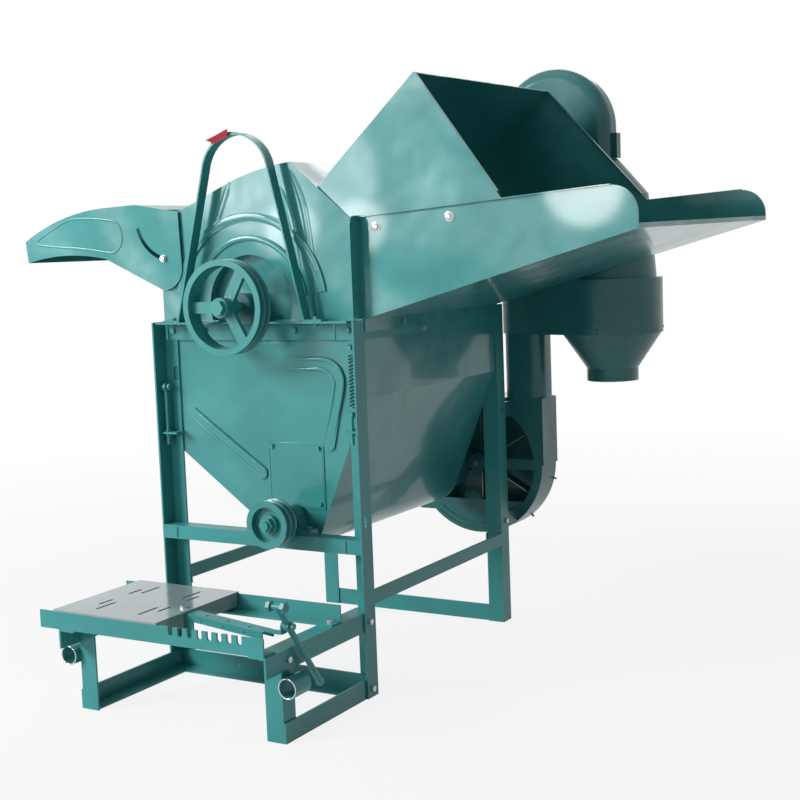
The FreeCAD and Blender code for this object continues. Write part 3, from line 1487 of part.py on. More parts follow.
# Guard hoop over the big pulley.
hoop_low_y = 2.0
hoop_width = 26.0
hoop_thick = 4.0
hoop_left_in = 66.0
hoop_left_x = -side_out + hoop_left_in
hoop_left_shoulder_x = -103.0
hoop_left_shoulder_rise = 322.0
hoop_left_shoulder_z = leg_height + hoop_left_shoulder_rise
hoop_crest_x = -22.0
hoop_crest_rise = 391.0
hoop_crest_z = leg_height + hoop_crest_rise
hoop_right_shoulder_x = 66.0
hoop_right_shoulder_rise = 322.0
hoop_right_shoulder_z = leg_height + hoop_right_shoulder_rise
hoop_right_in = 114.0
hoop_right_x = side_out - hoop_right_in
hoop_foot = 40.0
tag_length = 50.0
tag_height = 24.0


def hoop_edges(inset):
    y, z0 = hoop_low_y, leg_height
    t = inset

    def at(x, z):
        return V(x, y, z)

    left = [at(hoop_left_x + t, z0), at(hoop_left_shoulder_x + t, hoop_left_shoulder_z)]
    right = [at(hoop_right_shoulder_x - t, hoop_right_shoulder_z), at(hoop_right_x - t, z0)]
    edges = [Part.makeLine(left[0], left[1]),
             Part.Arc(left[1], at(hoop_crest_x, hoop_crest_z - t), right[0]).toShape(),
             Part.makeLine(right[0], right[1])]
    return edges, left[0], right[1]


def guard_hoop():
    """Flat bar bent to a hoop, with a turned-out foot at each end."""
    outer, left_out, right_out = hoop_edges(0)
    inner, left_in, right_in = hoop_edges(hoop_thick)
    edges = outer + [Part.makeLine(right_out, right_in), Part.makeLine(left_in, left_out)] + inner
    face = Part.Face(Part.Wire(Part.__sortEdges__(edges)))
    bar = face.extrude(V(0, hoop_width, 0))
    y1 = hoop_low_y + hoop_width
    feet = [box(hoop_left_x - hoop_foot, hoop_left_x + hoop_thick, hoop_low_y, y1,
                leg_height, leg_height + hoop_thick),
            box(hoop_right_x - hoop_thick, hoop_right_x + hoop_foot, hoop_low_y, y1,
                leg_height, leg_height + hoop_thick)]
    middle = (hoop_low_y + y1) / 2
    for x in (hoop_left_x - hoop_foot / 2, hoop_right_x + hoop_foot / 2):
        bolt("z", x, middle, leg_height + hoop_thick, leg_height - angle_wall)
    return fuse_all([bar] + feet)


def hoop_ribbon():
    """Scrap of tape folded over the crest of the hoop."""
    y0, y1 = hoop_low_y - sheet, hoop_low_y + hoop_width + sheet
    x0, x1 = hoop_crest_x - tag_length, hoop_crest_x
    wrap = box(x0, x1, y0, y1, hoop_crest_z - tag_height, hoop_crest_z + sheet)
    over = Part.Face(Part.Wire(Part.__sortEdges__(ribbon_outline(sheet)))).extrude(V(0, y1 - y0, 0))
    return wrap.common(over).cut(Part.Face(Part.Wire(Part.__sortEdges__(ribbon_outline(0)))).extrude(
        V(0, y1 - y0, 0)))


def ribbon_outline(grow):
    """Sliver above the hoop's outer edge, used twice to make a thin wrap."""
    y = hoop_low_y - sheet
    outer, left_out, right_out = hoop_edges(-grow)
    for edge in outer:
        edge.translate(V(0, -sheet, 0))
    left_out = left_out - V(0, sheet, 0)
    right_out = right_out - V(0, sheet, 0)
    return outer + [Part.makeLine(right_out, left_out)]


# Screen tension spring and the two adjusters beside the front legs.
coil_r = 6.3
wire_r = 1.5
coil_turns = 15
coil_pitch = 7.2
coil_in = 18.0
coil_x = side_out - coil_in
coil_y = 22.0
coil_top_drop = 68.0
coil_top_z = leg_height - coil_top_drop
hook_rise = 14.0
hook_bend = 3.0
hook_gap = 0.1
lug_thick = 4.0
lug_depth = 28.0
adjuster_length = 62.0
lug_place_share = 0.6
left_eye_drop = 142.0
left_eye_z = leg_height - left_eye_drop
left_rod_low_drop = 270.0
left_rod_low_z = leg_height - left_rod_low_drop
left_lug_drop = 245.0
left_lug_z = leg_height - left_lug_drop
eye_r = 9.0
eye_thick = 7.0
pin_nose = 22.0


def tension_spring():
    """One wire: hook, close turns and hook, on quarter-turn arcs."""
    x, y = coil_x, coil_y
    y_top, y_low = y - hook_bend, y + hook_bend
    top_pin_z = coil_top_z + hook_rise
    low_z = coil_top_z - coil_turns * coil_pitch
    low_pin_z = low_z - hook_rise
    s = sin(radians(45))

    def helix(turn):
        angle = 2 * pi * turn
        return V(x + coil_r * cos(angle), y + coil_r * sin(angle), coil_top_z - coil_pitch * turn)

    edges = [
        Part.Arc(V(x - coil_r, y_top, top_pin_z), V(x, y_top, top_pin_z + coil_r),
                 V(x + coil_r, y_top, top_pin_z)).toShape(),
        Part.makeLine(V(x + coil_r, y_top, top_pin_z), V(x + coil_r, y_top, coil_top_z + hook_bend)),
        Part.Arc(V(x + coil_r, y_top, coil_top_z + hook_bend),
                 V(x + coil_r, y_top + hook_bend * (1 - s), coil_top_z + hook_bend * (1 - s)),
                 helix(0)).toShape(),
    ]
    quarters = coil_turns * 4
    for i in range(quarters):
        edges.append(Part.Arc(helix(i / 4), helix((i + 0.5) / 4), helix((i + 1) / 4)).toShape())
    edges += [
        Part.Arc(helix(coil_turns), V(x + coil_r, y_low - hook_bend * (1 - s), low_z - hook_bend * (1 - s)),
                 V(x + coil_r, y_low, low_z - hook_bend)).toShape(),
        Part.makeLine(V(x + coil_r, y_low, low_z - hook_bend), V(x + coil_r, y_low, low_pin_z)),
        Part.Arc(V(x + coil_r, y_low, low_pin_z), V(x, y_low, low_pin_z - coil_r),
                 V(x - coil_r, y_low, low_pin_z)).toShape(),
    ]
    path = Part.Wire(edges)
    profile = Part.Wire(Part.makeCircle(wire_r, V(x - coil_r, y_top, top_pin_z), V(0, 0, 1)))
    print("spring least gap to itself", round(coil_pitch - 2 * wire_r, 2), "mm")
    return path.makePipeShell([profile], True, False)


def spring_posts():
    """Post that holds the top hook, and the threaded adjuster that holds the lower one."""
    pin_r = coil_r - wire_r - hook_gap
    top_pin_z = coil_top_z + hook_rise
    low_pin_z = coil_top_z - coil_turns * coil_pitch - hook_rise
    leg_face = panel_front - angle_wall
    post = rod_y(coil_x, top_pin_z, pin_r, coil_y - hook_bend - 3 * wire_r, leg_face)
    rod_y0 = coil_y - 2 * wire_r - bolt_r
    pin = rod_y(coil_x, low_pin_z, pin_r, rod_y0 - bolt_r, coil_y + hook_bend + 3 * wire_r)
    rod = rod_z(coil_x, rod_y0, bolt_r, low_pin_z - adjuster_length, low_pin_z)
    lug_z = low_pin_z - adjuster_length * lug_place_share
    return post, fuse_all([pin, rod]), rod_y0, lug_z


def adjuster_lug(x0, x1, hole_x, hole_y, z):
    """Plate welded into the corner of the leg, drilled for the threaded rod."""
    y1 = panel_front - angle_wall
    plate = box(x0, x1, y1 - lug_depth, y1, z, z + lug_thick)
    return plate.cut(rod_z(hole_x, hole_y, bolt_r + hole_gap, z - overrun, z + lug_thick + overrun))


def rod_nuts(x, y, z):
    nuts = []
    for base, way in ((z + lug_thick, 1), (z, -1)):
        nut = hexagon_rod((x, y, base), "z", bolt_r * bolt_head_share, way * bolt_head_height)
        nuts.append(nut.cut(rod_z(x, y, bolt_r, z - angle_size, z + angle_size)))
    return nuts


def left_adjuster():
    """Eye bolt hung from a pin through the left leg."""
    x = -side_out + 2 * eye_thick - eye_thick / 2
    y = coil_y - hook_bend
    eye = rod_x(y, left_eye_z, eye_r, x - eye_thick / 2, x + eye_thick / 2)
    rod = rod_z(x, y, bolt_r, left_rod_low_z, left_eye_z)
    hole = rod_x(y, left_eye_z, bolt_r + hole_gap, x - eye_thick, x + eye_thick)
    pin = rod_x(y, left_eye_z, bolt_r, -half_width - pin_nose / 2, x + eye_thick)
    head = hexagon_rod((x + eye_thick, y, left_eye_z), "x", bolt_r * bolt_head_share, bolt_head_height)
    nut = hexagon_rod((-half_width, y, left_eye_z), "x", bolt_r * bolt_head_share, -bolt_head_height)
    return fuse_all([eye, rod]).cut(hole), fuse_all([pin, head, nut]), x, y


# Motor plate, its link arm and the hand lever.
plate_left_out = 12.0
plate_left = side_out + plate_left_out
plate_right = 0.0
plate_front = base_front
plate_rear = rear_cross_y
plate_lip = 26.0
motor_slot_r = 3.5
arm_pivot_in = 26.0
arm_end_in = 30.0
arm_end_x = side_out - arm_end_in
arm_end_y = 288.0
arm_start_y = 228.0
arm_width = 30.0
arm_depth = 14.0
arm_wall = 3.0
lever_r = 6.0
lever_out = 14.0
lever_x = side_out + lever_out
lever_top_y = 316.0
lever_top_z = 273.0
lever_low_y = 187.0
lever_low_z = 95.0
lever_pivot_share = 0.25
lever_eye_r = 10.0
lever_knob_r = 11.0
lever_knob_thick = 8.0
lever_end_share = 0.8
lever_cross_share = 0.55
slide_gap = 0.05
arm_pivot_x = 24.0
arm_tip_width = 18.0
arm_hole_r = 4.0
arm_hole_shares = (0.3, 0.55, 0.8)
slot_inner_x = 55.0
slot_outer_x = 77.0
slot_centre_x = 130.0
slot_inner_y = 68.5
slot_outer_y = 45.0
slot_centre_y = 206.0
slot_inner_length = 60.0
slot_outer_length = 42.0

plate_z = base_rail_top + cross_rail_size + slide_gap


def motor_plate():
    """Slotted plate over both cross rails, with a lip down each side and a window for the arm."""
    x0, x1 = -plate_left, plate_right
    plate = box(x0, x1, -plate_front, -plate_rear, plate_z, plate_z + angle_wall)
    near, far = -plate_front + 2 * angle_wall, -plate_rear - 2 * angle_wall
    lips = [box(x0, x0 + angle_wall, near, far, plate_z - plate_lip, plate_z + angle_wall),
            box(x1 - angle_wall, x1, near, far, plate_z - plate_lip, plate_z + angle_wall)]
    window = box(x1 - angle_wall - overrun, x1 + overrun, -arm_start_y - arm_width,
                 -arm_start_y + arm_width, plate_z - plate_lip - overrun, plate_z - slide_gap)
    cuts = [window]
    for centre_x, centre_y, length in slot_places():
        r = motor_slot_r
        y0, y1 = centre_y - length / 2 + r, centre_y + length / 2 - r
        cuts.append(box(centre_x - r, centre_x + r, y0, y1, plate_z - overrun,
                        plate_z + angle_wall + overrun))
        for y in (y0, y1):
            cuts.append(rod_z(centre_x, y, r, plate_z - overrun, plate_z + angle_wall + overrun))
    cuts.append(rod_z(-arm_pivot_x, -arm_start_y, bolt_r, plate_z - overrun,
                      plate_z + angle_wall + overrun))
    return fuse_all([plate] + lips).cut(fuse_all(cuts))


def slot_places():
    places = []
    for reach_x, reach_y, length in ((slot_inner_x, slot_inner_y, slot_inner_length),
                                     (slot_outer_x, slot_outer_y, slot_outer_length)):
        for side_x in (-1, 1):
            for side_y in (-1, 1):
                places.append((-slot_centre_x + side_x * reach_x, -slot_centre_y + side_y * reach_y,
                               length))
    return places


arm_top = plate_z - slide_gap
arm_low = arm_top - arm_depth


def arm_pivot():
    """Bolt that hangs the arm from the plate: head above, nut just below the arm's web."""
    x, y = -arm_pivot_x, -arm_start_y
    low = arm_top - arm_wall - running_gap
    shank = rod_z(x, y, bolt_r, low, plate_z + angle_wall)
    head = hexagon_rod((x, y, plate_z + angle_wall), "z", bolt_r * bolt_head_share, bolt_head_height)
    nut = hexagon_rod((x, y, low), "z", bolt_r * bolt_head_share, -bolt_head_height)
    return fuse_all([shank, head, nut])


def lever_point(share):
    """Point on the lever's centre line, from its top to its lower end."""
    return (-lever_top_y + share * (lever_top_y - lever_low_y),
            lever_top_z + share * (lever_low_z - lever_top_z))


def link_arm():
    """Channel with a row of holes, ending in a bent tongue and the lever's pin."""
    x0, y0 = -arm_pivot_x, -arm_start_y
    length = hypot(arm_end_x - x0, -arm_end_y - y0)
    half = arm_width / 2
    web = box(0, length, -half, half, arm_top - arm_wall, arm_top)
    web = web.fuse(rod_z(0, 0, half, arm_top - arm_wall, arm_top))
    sides = [box(arm_width, length, -half, -half + arm_wall, arm_low, arm_top),
             box(arm_width, length, half - arm_wall, half, arm_low, arm_top)]
    channel = fuse_all([web] + sides)
    holes = [rod_z(0, 0, bolt_r + running_gap, arm_low, arm_top + overrun)]
    for share in arm_hole_shares:
        holes.append(rod_z(length * share, 0, arm_hole_r, arm_low, arm_top + overrun))
        holes.append(Part.makeCylinder(arm_hole_r / 2, arm_width + 2 * overrun,
                                       V(length * share, -half - overrun, arm_low + arm_depth / 2 - overrun),
                                       V(0, 1, 0)))
    channel = channel.cut(fuse_all(holes))
    turn = degrees(atan2(-arm_end_y - y0, arm_end_x - x0))
    channel.rotate(V(0, 0, 0), V(0, 0, 1), turn)
    channel.translate(V(x0, y0, 0))
    pivot_y, pivot_z = lever_point(lever_pivot_share)
    tip = arm_tip_width / 2
    eye_x = lever_x - lever_r - arm_wall
    step = box(arm_end_x - arm_width, eye_x, pivot_y - tip, pivot_y + tip, arm_top - arm_wall, arm_top)
    ear = box(eye_x - arm_wall, eye_x, pivot_y - tip, pivot_y + tip, arm_top - arm_wall, pivot_z)
    eye = rod_x(pivot_y, pivot_z, tip, eye_x - arm_wall, eye_x)
    pin = rod_x(pivot_y, pivot_z, bolt_r, eye_x - arm_wall, lever_x + lever_r + arm_wall)
    cap = hexagon_rod((lever_x + lever_r + arm_wall, pivot_y, pivot_z), "x",
                      bolt_r * bolt_head_share, bolt_head_height)
    return fuse_all([channel, step, ear, eye, pin, cap])


def hand_lever():
    """Round lever with a bored eye, a small end ring and a handle cluster at its top."""
    top_y, top_z = lever_point(0)
    low_y, low_z = lever_point(1)
    pivot_y, pivot_z = lever_point(lever_pivot_share)
    span = V(0, low_y - top_y, low_z - top_z)
    rod = Part.makeCylinder(lever_r, span.Length, V(lever_x, top_y, top_z), span)
    eye = rod_x(pivot_y, pivot_z, lever_eye_r, lever_x - lever_r, lever_x + lever_r)
    end = rod_x(low_y, low_z, lever_eye_r * lever_end_share,
                lever_x - lever_r * lever_end_share, lever_x + lever_r * lever_end_share)
    cross = rod_x(top_y, top_z, lever_knob_r * lever_cross_share,
                  lever_x - lever_eye_r * 2, lever_x + lever_eye_r * 2)
    knobs = []
    for x in (lever_x - lever_eye_r * 2, lever_x + lever_eye_r * 2 - lever_knob_thick):
        knobs.append(hexagon_rod((x, top_y, top_z), "x", lever_knob_r, lever_knob_thick))
    bore = rod_x(pivot_y, pivot_z, bolt_r + running_gap, lever_x - 2 * lever_r, lever_x + 2 * lever_r)
    return fuse_all([rod, eye, end, cross] + knobs).cut(bore)


# Short outlet tube behind the trough with the rear bearing of the auger, and the blower brackets.
outlet_bush_r = 17.0
outlet_bush_start = 8.0
outlet_bush_length = 20.0
outlet_arm_width = 8.0
bracket_thick = 8.0
bracket_high_rise = 125.0
bracket_high_z = fan_z + bracket_high_rise
bracket_low_drop = 145.0
bracket_low_z = fan_z - bracket_low_drop
bracket_height = 36.0
bracket_start = 8.0


def auger_outlet():
    y0, y1 = panel_rear, fan_front
    tube = ring_y(auger_x, auger_z, trough_out_r + sheet, trough_out_r, y0, y1)
    bush_y = y0 + outlet_bush_start
    bush = rod_y(auger_x, auger_z, outlet_bush_r, bush_y, bush_y + outlet_bush_length)
    arms = []
    for i in range(3):
        arm = box(auger_x, auger_x + trough_out_r + sheet / 2, bush_y, bush_y + outlet_arm_width,
                  auger_z - outlet_arm_width / 2, auger_z + outlet_arm_width / 2)
        arm.rotate(V(auger_x, 0, auger_z), V(0, 1, 0), -(90 + 120 * i))
        arms.append(arm)
    bore = rod_y(auger_x, auger_z, journal_r + running_gap, y0 - overrun, y1 + overrun)
    return fuse_all([tube, bush] + arms).cut(bore)


def fan_brackets():
    brackets = []
    for low in (bracket_high_z, bracket_low_z):
        y0 = rear_leg_y + bracket_start
        brackets.append(box(side_out - bracket_thick, side_out, y0, fan_front, low, low + bracket_height))
        bolt("x", y0 + bracket_height / 2, low + bracket_height / 2, half_width, side_out - bracket_thick)
    return Part.makeCompound(brackets)


# Bolts of the frame.
rail_bolt_drop = 19.0
rail_bolt_z = leg_height - rail_bolt_drop
rail_bolt_left_in = 117.0
rail_bolt_left_x = side_out - rail_bolt_left_in
rail_bolt_right_in = 160.0
rail_bolt_right_x = side_out - rail_bolt_right_in
rail_bolt_corner_in = 29.0
rail_bolt_corner_x = side_out - rail_bolt_corner_in
side_bolt_near_in = 152.0
side_bolt_near_y = panel_front + side_bolt_near_in
side_bolt_far_in = 149.0
side_bolt_far_y = rear_leg_y - side_bolt_far_in
side_bolt_drop = 12.0
side_bolt_z = leg_height - side_bolt_drop
base_bolt_y = 268.0
base_bolt_z = 159.0
leg_bolt_y = 18.0
foot_bolt_z = 18.0
cross_bolt_side_in = 20.0
cross_bolt_x = side_out - cross_bolt_side_in
cross_bolt_in = 18.0
door_bolt_in = 12.0
door_bolt_r = 3.0


def place_frame_bolts():
    rail_face = panel_front - 2 * angle_wall
    rear_face = rear_leg_y + 2 * angle_wall
    for x in (-rail_bolt_corner_x, rail_bolt_corner_x):
        bolt("y", x, rail_bolt_z, rail_face, inner_front)
        bolt("y", x, rail_bolt_z, rear_face, inner_rear)
    for x in (-rail_bolt_left_x, rail_bolt_right_x):
        bolt("y", x, rail_bolt_z, rail_face, inner_front)
        bolt("y", x, rail_bolt_z, rear_face, inner_rear)
        spacers.append(rod_y(x, rail_bolt_z, bolt_r * 2, panel_front - angle_wall, panel_front))
        spacers.append(rod_y(x, rail_bolt_z, bolt_r * 2, rear_leg_y, rear_leg_y + angle_wall))
    for y in (side_bolt_near_y, side_bolt_far_y):
        bolt("x", y, side_bolt_z, half_width + sheet, side_in)
        bolt("x", y, side_bolt_z, -half_width, -side_in)
    for side in (-1, 1):
        bolt("x", -base_bolt_y, base_bolt_z, side * base_outer, side * (base_inner - angle_wall))
        bolt("x", leg_bolt_y, base_bolt_z, side * half_width, side * base_inner)
        bolt("x", leg_bolt_y, foot_bolt_z, side * half_width, side * base_inner)
        for y in (-base_front + cross_bolt_in, -rear_cross_y - cross_bolt_in):
            bolt("z", side * cross_bolt_x, y, base_rail_top + angle_wall, base_rail_top - angle_wall)
    for x in (door_left + door_bolt_in, door_right - door_bolt_in):
        for z in (door_low + door_bolt_in, door_high - door_bolt_in):
            bolt("y", x, z, panel_front - sheet, inner_front, door_bolt_r)


spacers = []


def spring_hardware():
    """Posts, threaded adjusters and their nuts beside the two front legs."""
    post, right_rod, right_y, right_lug_z = spring_posts()
    left_rod, left_pin, left_x, left_y = left_adjuster()
    fixed_holes.append(rod_x(left_y, left_eye_z, bolt_r + hole_gap, -half_width - hole_gap,
                             -side_out + hole_gap))
    pieces = [post, right_rod, left_rod, left_pin]
    pieces += rod_nuts(coil_x, right_y, right_lug_z)
    pieces += rod_nuts(left_x, left_y, left_lug_z)
    lugs = [adjuster_lug(coil_x - 3 * bolt_r, side_out, coil_x, right_y, right_lug_z),
            adjuster_lug(-side_out, left_x + 8 * bolt_r, left_x, left_y, left_lug_z)]
    return Part.makeCompound(pieces), Part.makeCompound(lugs)


def pair(make):
    return Part.makeCompound([make(-1), make(1)])


def feed_hood_sides():
    near = feed_side(True).cut(nodes["hood_front_panel"])
    far = feed_side(False).cut(nodes["hood_rear_panel"])
    return Part.makeCompound([near, far])


nodes["front_left_leg"] = front_left_leg()
nodes["front_right_leg"] = front_right_leg()
nodes["rear_left_leg"] = angle_bar_z(-half_width, rear_leg_y, 1, 1, 0, leg_height)
nodes["rear_right_leg"] = angle_bar_z(half_width, rear_leg_y, -1, 1, 0, leg_height)
nodes["front_bottom_rail"] = front_bottom_rail()
nodes["rear_bottom_rail"] = rear_bottom_rail()
nodes["lower_side_rails"] = pair(lower_side_rail)
nodes["front_mid_beam"] = mid_beam_front()
nodes["front_top_rail"] = top_rail(True)
nodes["rear_top_rail"] = top_rail(False)
nodes["side_top_rails"] = pair(side_top_rail)
nodes["base_side_rails"] = pair(base_side_rail)
nodes["base_feet"] = pair(base_leg)
nodes["notched_rail"] = notched_rail()
nodes["rear_cross_rail"] = rear_cross_rail()
nodes["pole_sockets"] = pole_sockets()
nodes["body_front_panel"] = body_front_panel()
nodes["body_rear_panel"] = body_rear_panel()
nodes["body_left_sheet"] = body_left_sheet()
nodes["body_right_sheet"] = body_right_sheet()
nodes["auger_trough"] = auger_trough()
nodes["inspection_cover"] = inspection_cover()
nodes["hood_front_panel"] = hood_front_panel()
nodes["hood_rear_panel"] = hood_rear_panel()
nodes["hood_left_sheet"] = hood_left_sheet()
nodes["hood_top_sheet"] = hood_top_sheet()
nodes["hood_slope_sheet"] = hood_slope_sheet()
nodes["tray_floor"] = tray_floor()
nodes["tray_walls"] = tray_walls()
nodes["feed_hood_sides"] = feed_hood_sides()
nodes["feed_hood_roof"] = feed_roof()
nodes["concave"] = concave()
nodes["auger_outlet"] = auger_outlet()
nodes["fan_housing"] = fan_housing()
nodes["fan_brackets"] = fan_brackets()
nodes["riser_duct"] = riser_duct()
nodes["discharge_elbow"] = discharge_elbow()
nodes["cyclone_barrel"] = Part.makeCompound([cyclone_shell()] + cyclone_shroud())
nodes["cyclone_cone"] = cyclone_cone()
nodes["guard_hoop"] = guard_hoop()
nodes["bearing_blocks"] = bearing_blocks()
place_frame_bolts()
clamps = spout_clamp_bolts()
hardware, lugs = spring_hardware()
fixed_holes.append(spout_rod())

# Bolt holes go through every fixed sheet and bar that they meet.
for name, shape in nodes.items():
    reach = shape.BoundBox
    met = [hole for hole in fixed_holes if hole.BoundBox.intersect(reach)]
    if met:
        nodes[name] = shape.cut(Part.makeCompound(met))

nodes["adjuster_lugs"] = lugs
nodes["adjusters"] = hardware
nodes["frame_bolts"] = Part.makeCompound(
    [b.fuse([s for s in spacers if s.BoundBox.intersect(b.BoundBox)]).removeSplitter()
     if any(s.BoundBox.intersect(b.BoundBox) for s in spacers) else b for b in fixed_bolts])
nodes["tension_spring"] = tension_spring()
nodes["hoop_ribbon"] = hoop_ribbon()
nodes["spout_hardware"] = Part.makeCompound([spout_rod()] + clamps.Solids)
nodes["spout_cheeks"] = spout_cheeks()
nodes["spout_top"] = spout_top()
nodes["drum_shaft"] = drum_shaft()
nodes["drum_rotor"] = drum_rotor()
nodes["drum_pulley"] = drum_pulley()
nodes["auger_shaft"] = auger_shaft()
nodes["auger_flight"] = auger_flight()
nodes["auger_pulley"] = auger_pulley()
nodes["fan_rotor"] = fan_rotor()
nodes["motor_plate"] = motor_plate()
nodes["arm_pivot"] = arm_pivot()
nodes["link_arm"] = link_arm()
nodes["hand_lever"] = hand_lever()

# The origin is the middle of the outline on the floor.
centre_x = (tray_far_x + spout_tip_x) / 2
centre_y = (duct_y + shroud_big_r - base_front) / 2
for name, shape in nodes.items():
    moved = shape.copy()
    moved.translate(V(-centre_x, -centre_y, 0))
    moved.exportStep("parts/" + name + ".step")
    print(name, moved.isValid(), len(moved.Solids), round(moved.Volume))
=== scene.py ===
import json
import math

import bpy
from mathutils import Matrix, Vector


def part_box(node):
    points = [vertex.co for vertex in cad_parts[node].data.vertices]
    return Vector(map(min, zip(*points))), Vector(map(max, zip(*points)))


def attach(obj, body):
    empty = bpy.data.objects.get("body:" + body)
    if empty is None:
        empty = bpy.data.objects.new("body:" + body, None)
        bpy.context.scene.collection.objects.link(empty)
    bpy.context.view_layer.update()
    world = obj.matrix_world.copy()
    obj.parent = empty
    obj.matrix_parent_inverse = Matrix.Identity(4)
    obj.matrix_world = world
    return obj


bl_info = {
    "name": "Threshing machine",
    "version": (1, 0, 0),
    "blender": (4, 5, 0),
    "location": "3D View > Sidebar > Thresher",
    "description": "Dresses the threshing machine and sets its studio",
    "category": "Object",
}

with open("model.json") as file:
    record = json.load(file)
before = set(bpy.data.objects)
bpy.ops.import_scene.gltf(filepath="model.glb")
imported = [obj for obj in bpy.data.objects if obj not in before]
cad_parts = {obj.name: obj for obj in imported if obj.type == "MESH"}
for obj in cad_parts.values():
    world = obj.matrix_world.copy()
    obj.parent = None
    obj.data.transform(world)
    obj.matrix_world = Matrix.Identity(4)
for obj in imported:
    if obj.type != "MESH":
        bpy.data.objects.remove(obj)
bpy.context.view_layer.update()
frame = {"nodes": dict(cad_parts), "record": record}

# The frame's right front leg fixes the middle of the legs and their front edge.
LEG_LOW, LEG_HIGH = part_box("front_right_leg")
HALF_WIDTH = 0.260
MIDDLE_X = LEG_HIGH[0] - HALF_WIDTH
FRONT_Y = LEG_LOW[1]

# Camera of the photograph, measured from the middle of the front legs at the floor.
CAMERA_SPOT = (1.734, -2.326, 0.914)
CAMERA_YAW = 30.54
CAMERA_PITCH = 6.20
CAMERA_ROLL = 2.16
CAMERA_LENS = 62.19
CAMERA_SENSOR = 36.0

MM = 0.001
FORWARD, BACKWARD = (0, -1, 0), (0, 1, 0)
ACROSS = 1
CAD_EDGE_ANGLE = 32
EDGE_ANGLE = 40
MERGE_GAP = 0.00002
BEVEL_STEPS = 2

# Places in millimetres from the middle of the front legs at the floor: x right, y back, z up.
DRUM_X, DRUM_Z = -20.0, 809.3
BLOWER_X, BLOWER_Z = 150.0, 375.0
BLOWER_SKIRT_R, BLOWER_CLIP_Y = 177.5, 812.0
SEPARATOR_X, SEPARATOR_Y = 500.0, 773.0
SEPARATOR_BAND_R, SEPARATOR_RIVET_Z = 120.8, 710.0
CHEEK_PLANES = (33.0, 640.0)
RIB_PLANES = (36.0, 637.0)
PANEL_PLANES = (40.0, 633.0)
COVER_PLANE = 38.0

# Studio.
WHITE = (1, 1, 1, 1)
FLOOR_GREY = 0.6
FILL_LIGHT = 0.17
LAMP_AIM = (0, 0, 0.6)
# Name, place and width in metres, power in watts.
LAMPS = [
    ("key_lamp", (-3.6, -3.9, 2.9), 2.2, 262.0),
    ("top_lamp", (-0.6, -0.8, 4.6), 3.0, 22.0),
    ("gloss_lamp", (-1.95, -2.7, 1.25), 0.5, 6.0),
    ("hood_gloss", (-1.74, -2.7, 1.02), 0.22, 2.4),
    ("tray_gloss", (-0.60, -2.56, 1.12), 0.30, 6.0),
    ("rear_lamp", (-1.4, 4.4, 3.0), 2.6, 50.0),
]


def place(x, y, z):
    """Point measured from the middle of the front legs, in the frame's axes."""
    return Vector((MIDDLE_X + x, FRONT_Y + y, z))


class Socket:
    """Wraps a shader socket so that masks are written as plain arithmetic."""

    def __init__(self, tree, link):
        self.tree = tree
        self.link = link

    def math(self, operation, *others, clamp=False):
        node = self.tree.nodes.new("ShaderNodeMath")
        node.operation = operation
        node.use_clamp = clamp
        for slot, value in zip(node.inputs, (self,) + others):
            join(self.tree, slot, value)
        return Socket(self.tree, node.outputs[0])

    def __add__(self, other):
        return self.math("ADD", other)

    __radd__ = __add__

    def __sub__(self, other):
        return self.math("SUBTRACT", other)

    def __rsub__(self, other):
        return (self * -1.0).math("ADD", other)

    def __mul__(self, other):
        return self.math("MULTIPLY", other)

    __rmul__ = __mul__

    def __pow__(self, other):
        return self.math("POWER", other)

    def over(self, edge, width):
        """Soft step from 0 to 1 as the value passes the edge."""
        return ((self - edge) * (1.0 / width)).math("ADD", 0.5, clamp=True)


def join(tree, slot, value):
    """Links a socket to a slot, or sets the slot to a plain value."""
    if isinstance(value, Socket):
        tree.links.new(value.link, slot)
    else:
        slot.default_value = value


class Finish:
    """Builds one procedural material."""

    def __init__(self, name):
        self.material = bpy.data.materials.new(name)
        self.material.use_nodes = True
        self.tree = self.material.node_tree
        self.tree.nodes.clear()
        self.shader = self.tree.nodes.new("ShaderNodeBsdfPrincipled")
        output = self.tree.nodes.new("ShaderNodeOutputMaterial")
        self.tree.links.new(self.shader.outputs[0], output.inputs["Surface"])
        coords = self.tree.nodes.new("ShaderNodeTexCoord")
        self.place = Socket(self.tree, coords.outputs["Object"])

    def node(self, kind, settings, **sockets):
        made = self.tree.nodes.new(kind)
        for key, value in settings.items():
            setattr(made, key, value)
        for key, value in sockets.items():
            join(self.tree, made.inputs[key.replace("_", " ")], value)
        return made

    def noise(self, scale, detail=3.0, roughness=0.55):
        made = self.node("ShaderNodeTexNoise", {}, Vector=self.place, Scale=scale, Detail=detail,
                         Roughness=roughness)
        return Socket(self.tree, made.outputs["Fac"])

    def axes(self):
        made = self.node("ShaderNodeSeparateXYZ", {}, Vector=self.place)
        return [Socket(self.tree, made.outputs[i]) for i in range(3)]

    def mix(self, mask, low, high):
        made = self.tree.nodes.new("ShaderNodeMix")
        made.data_type = "RGBA"
        join(self.tree, made.inputs["Factor"], mask)
        for slot, value in ((made.inputs[6], low), (made.inputs[7], high)):
            join(self.tree, slot, tuple(value) + (1.0,) if isinstance(value, tuple) else value)
        return Socket(self.tree, made.outputs[2])

    def bump(self, height, strength, distance, under=None):
        made = self.node("ShaderNodeBump", {}, Strength=strength, Distance=distance, Height=height)
        if under:
            join(self.tree, made.inputs["Normal"], under)
        return Socket(self.tree, made.outputs["Normal"])

    def set(self, **sockets):
        for key, value in sockets.items():
            slot = self.shader.inputs[key.replace("_", " ")]
            if isinstance(value, tuple) and len(value) == 3 and slot.type == "RGBA":
                value = value + (1.0,)
            join(self.tree, slot, value)
        return self.material


def shaded(colour, share):
    """The colour with its brightness scaled."""
    return tuple(c * share for c in colour)


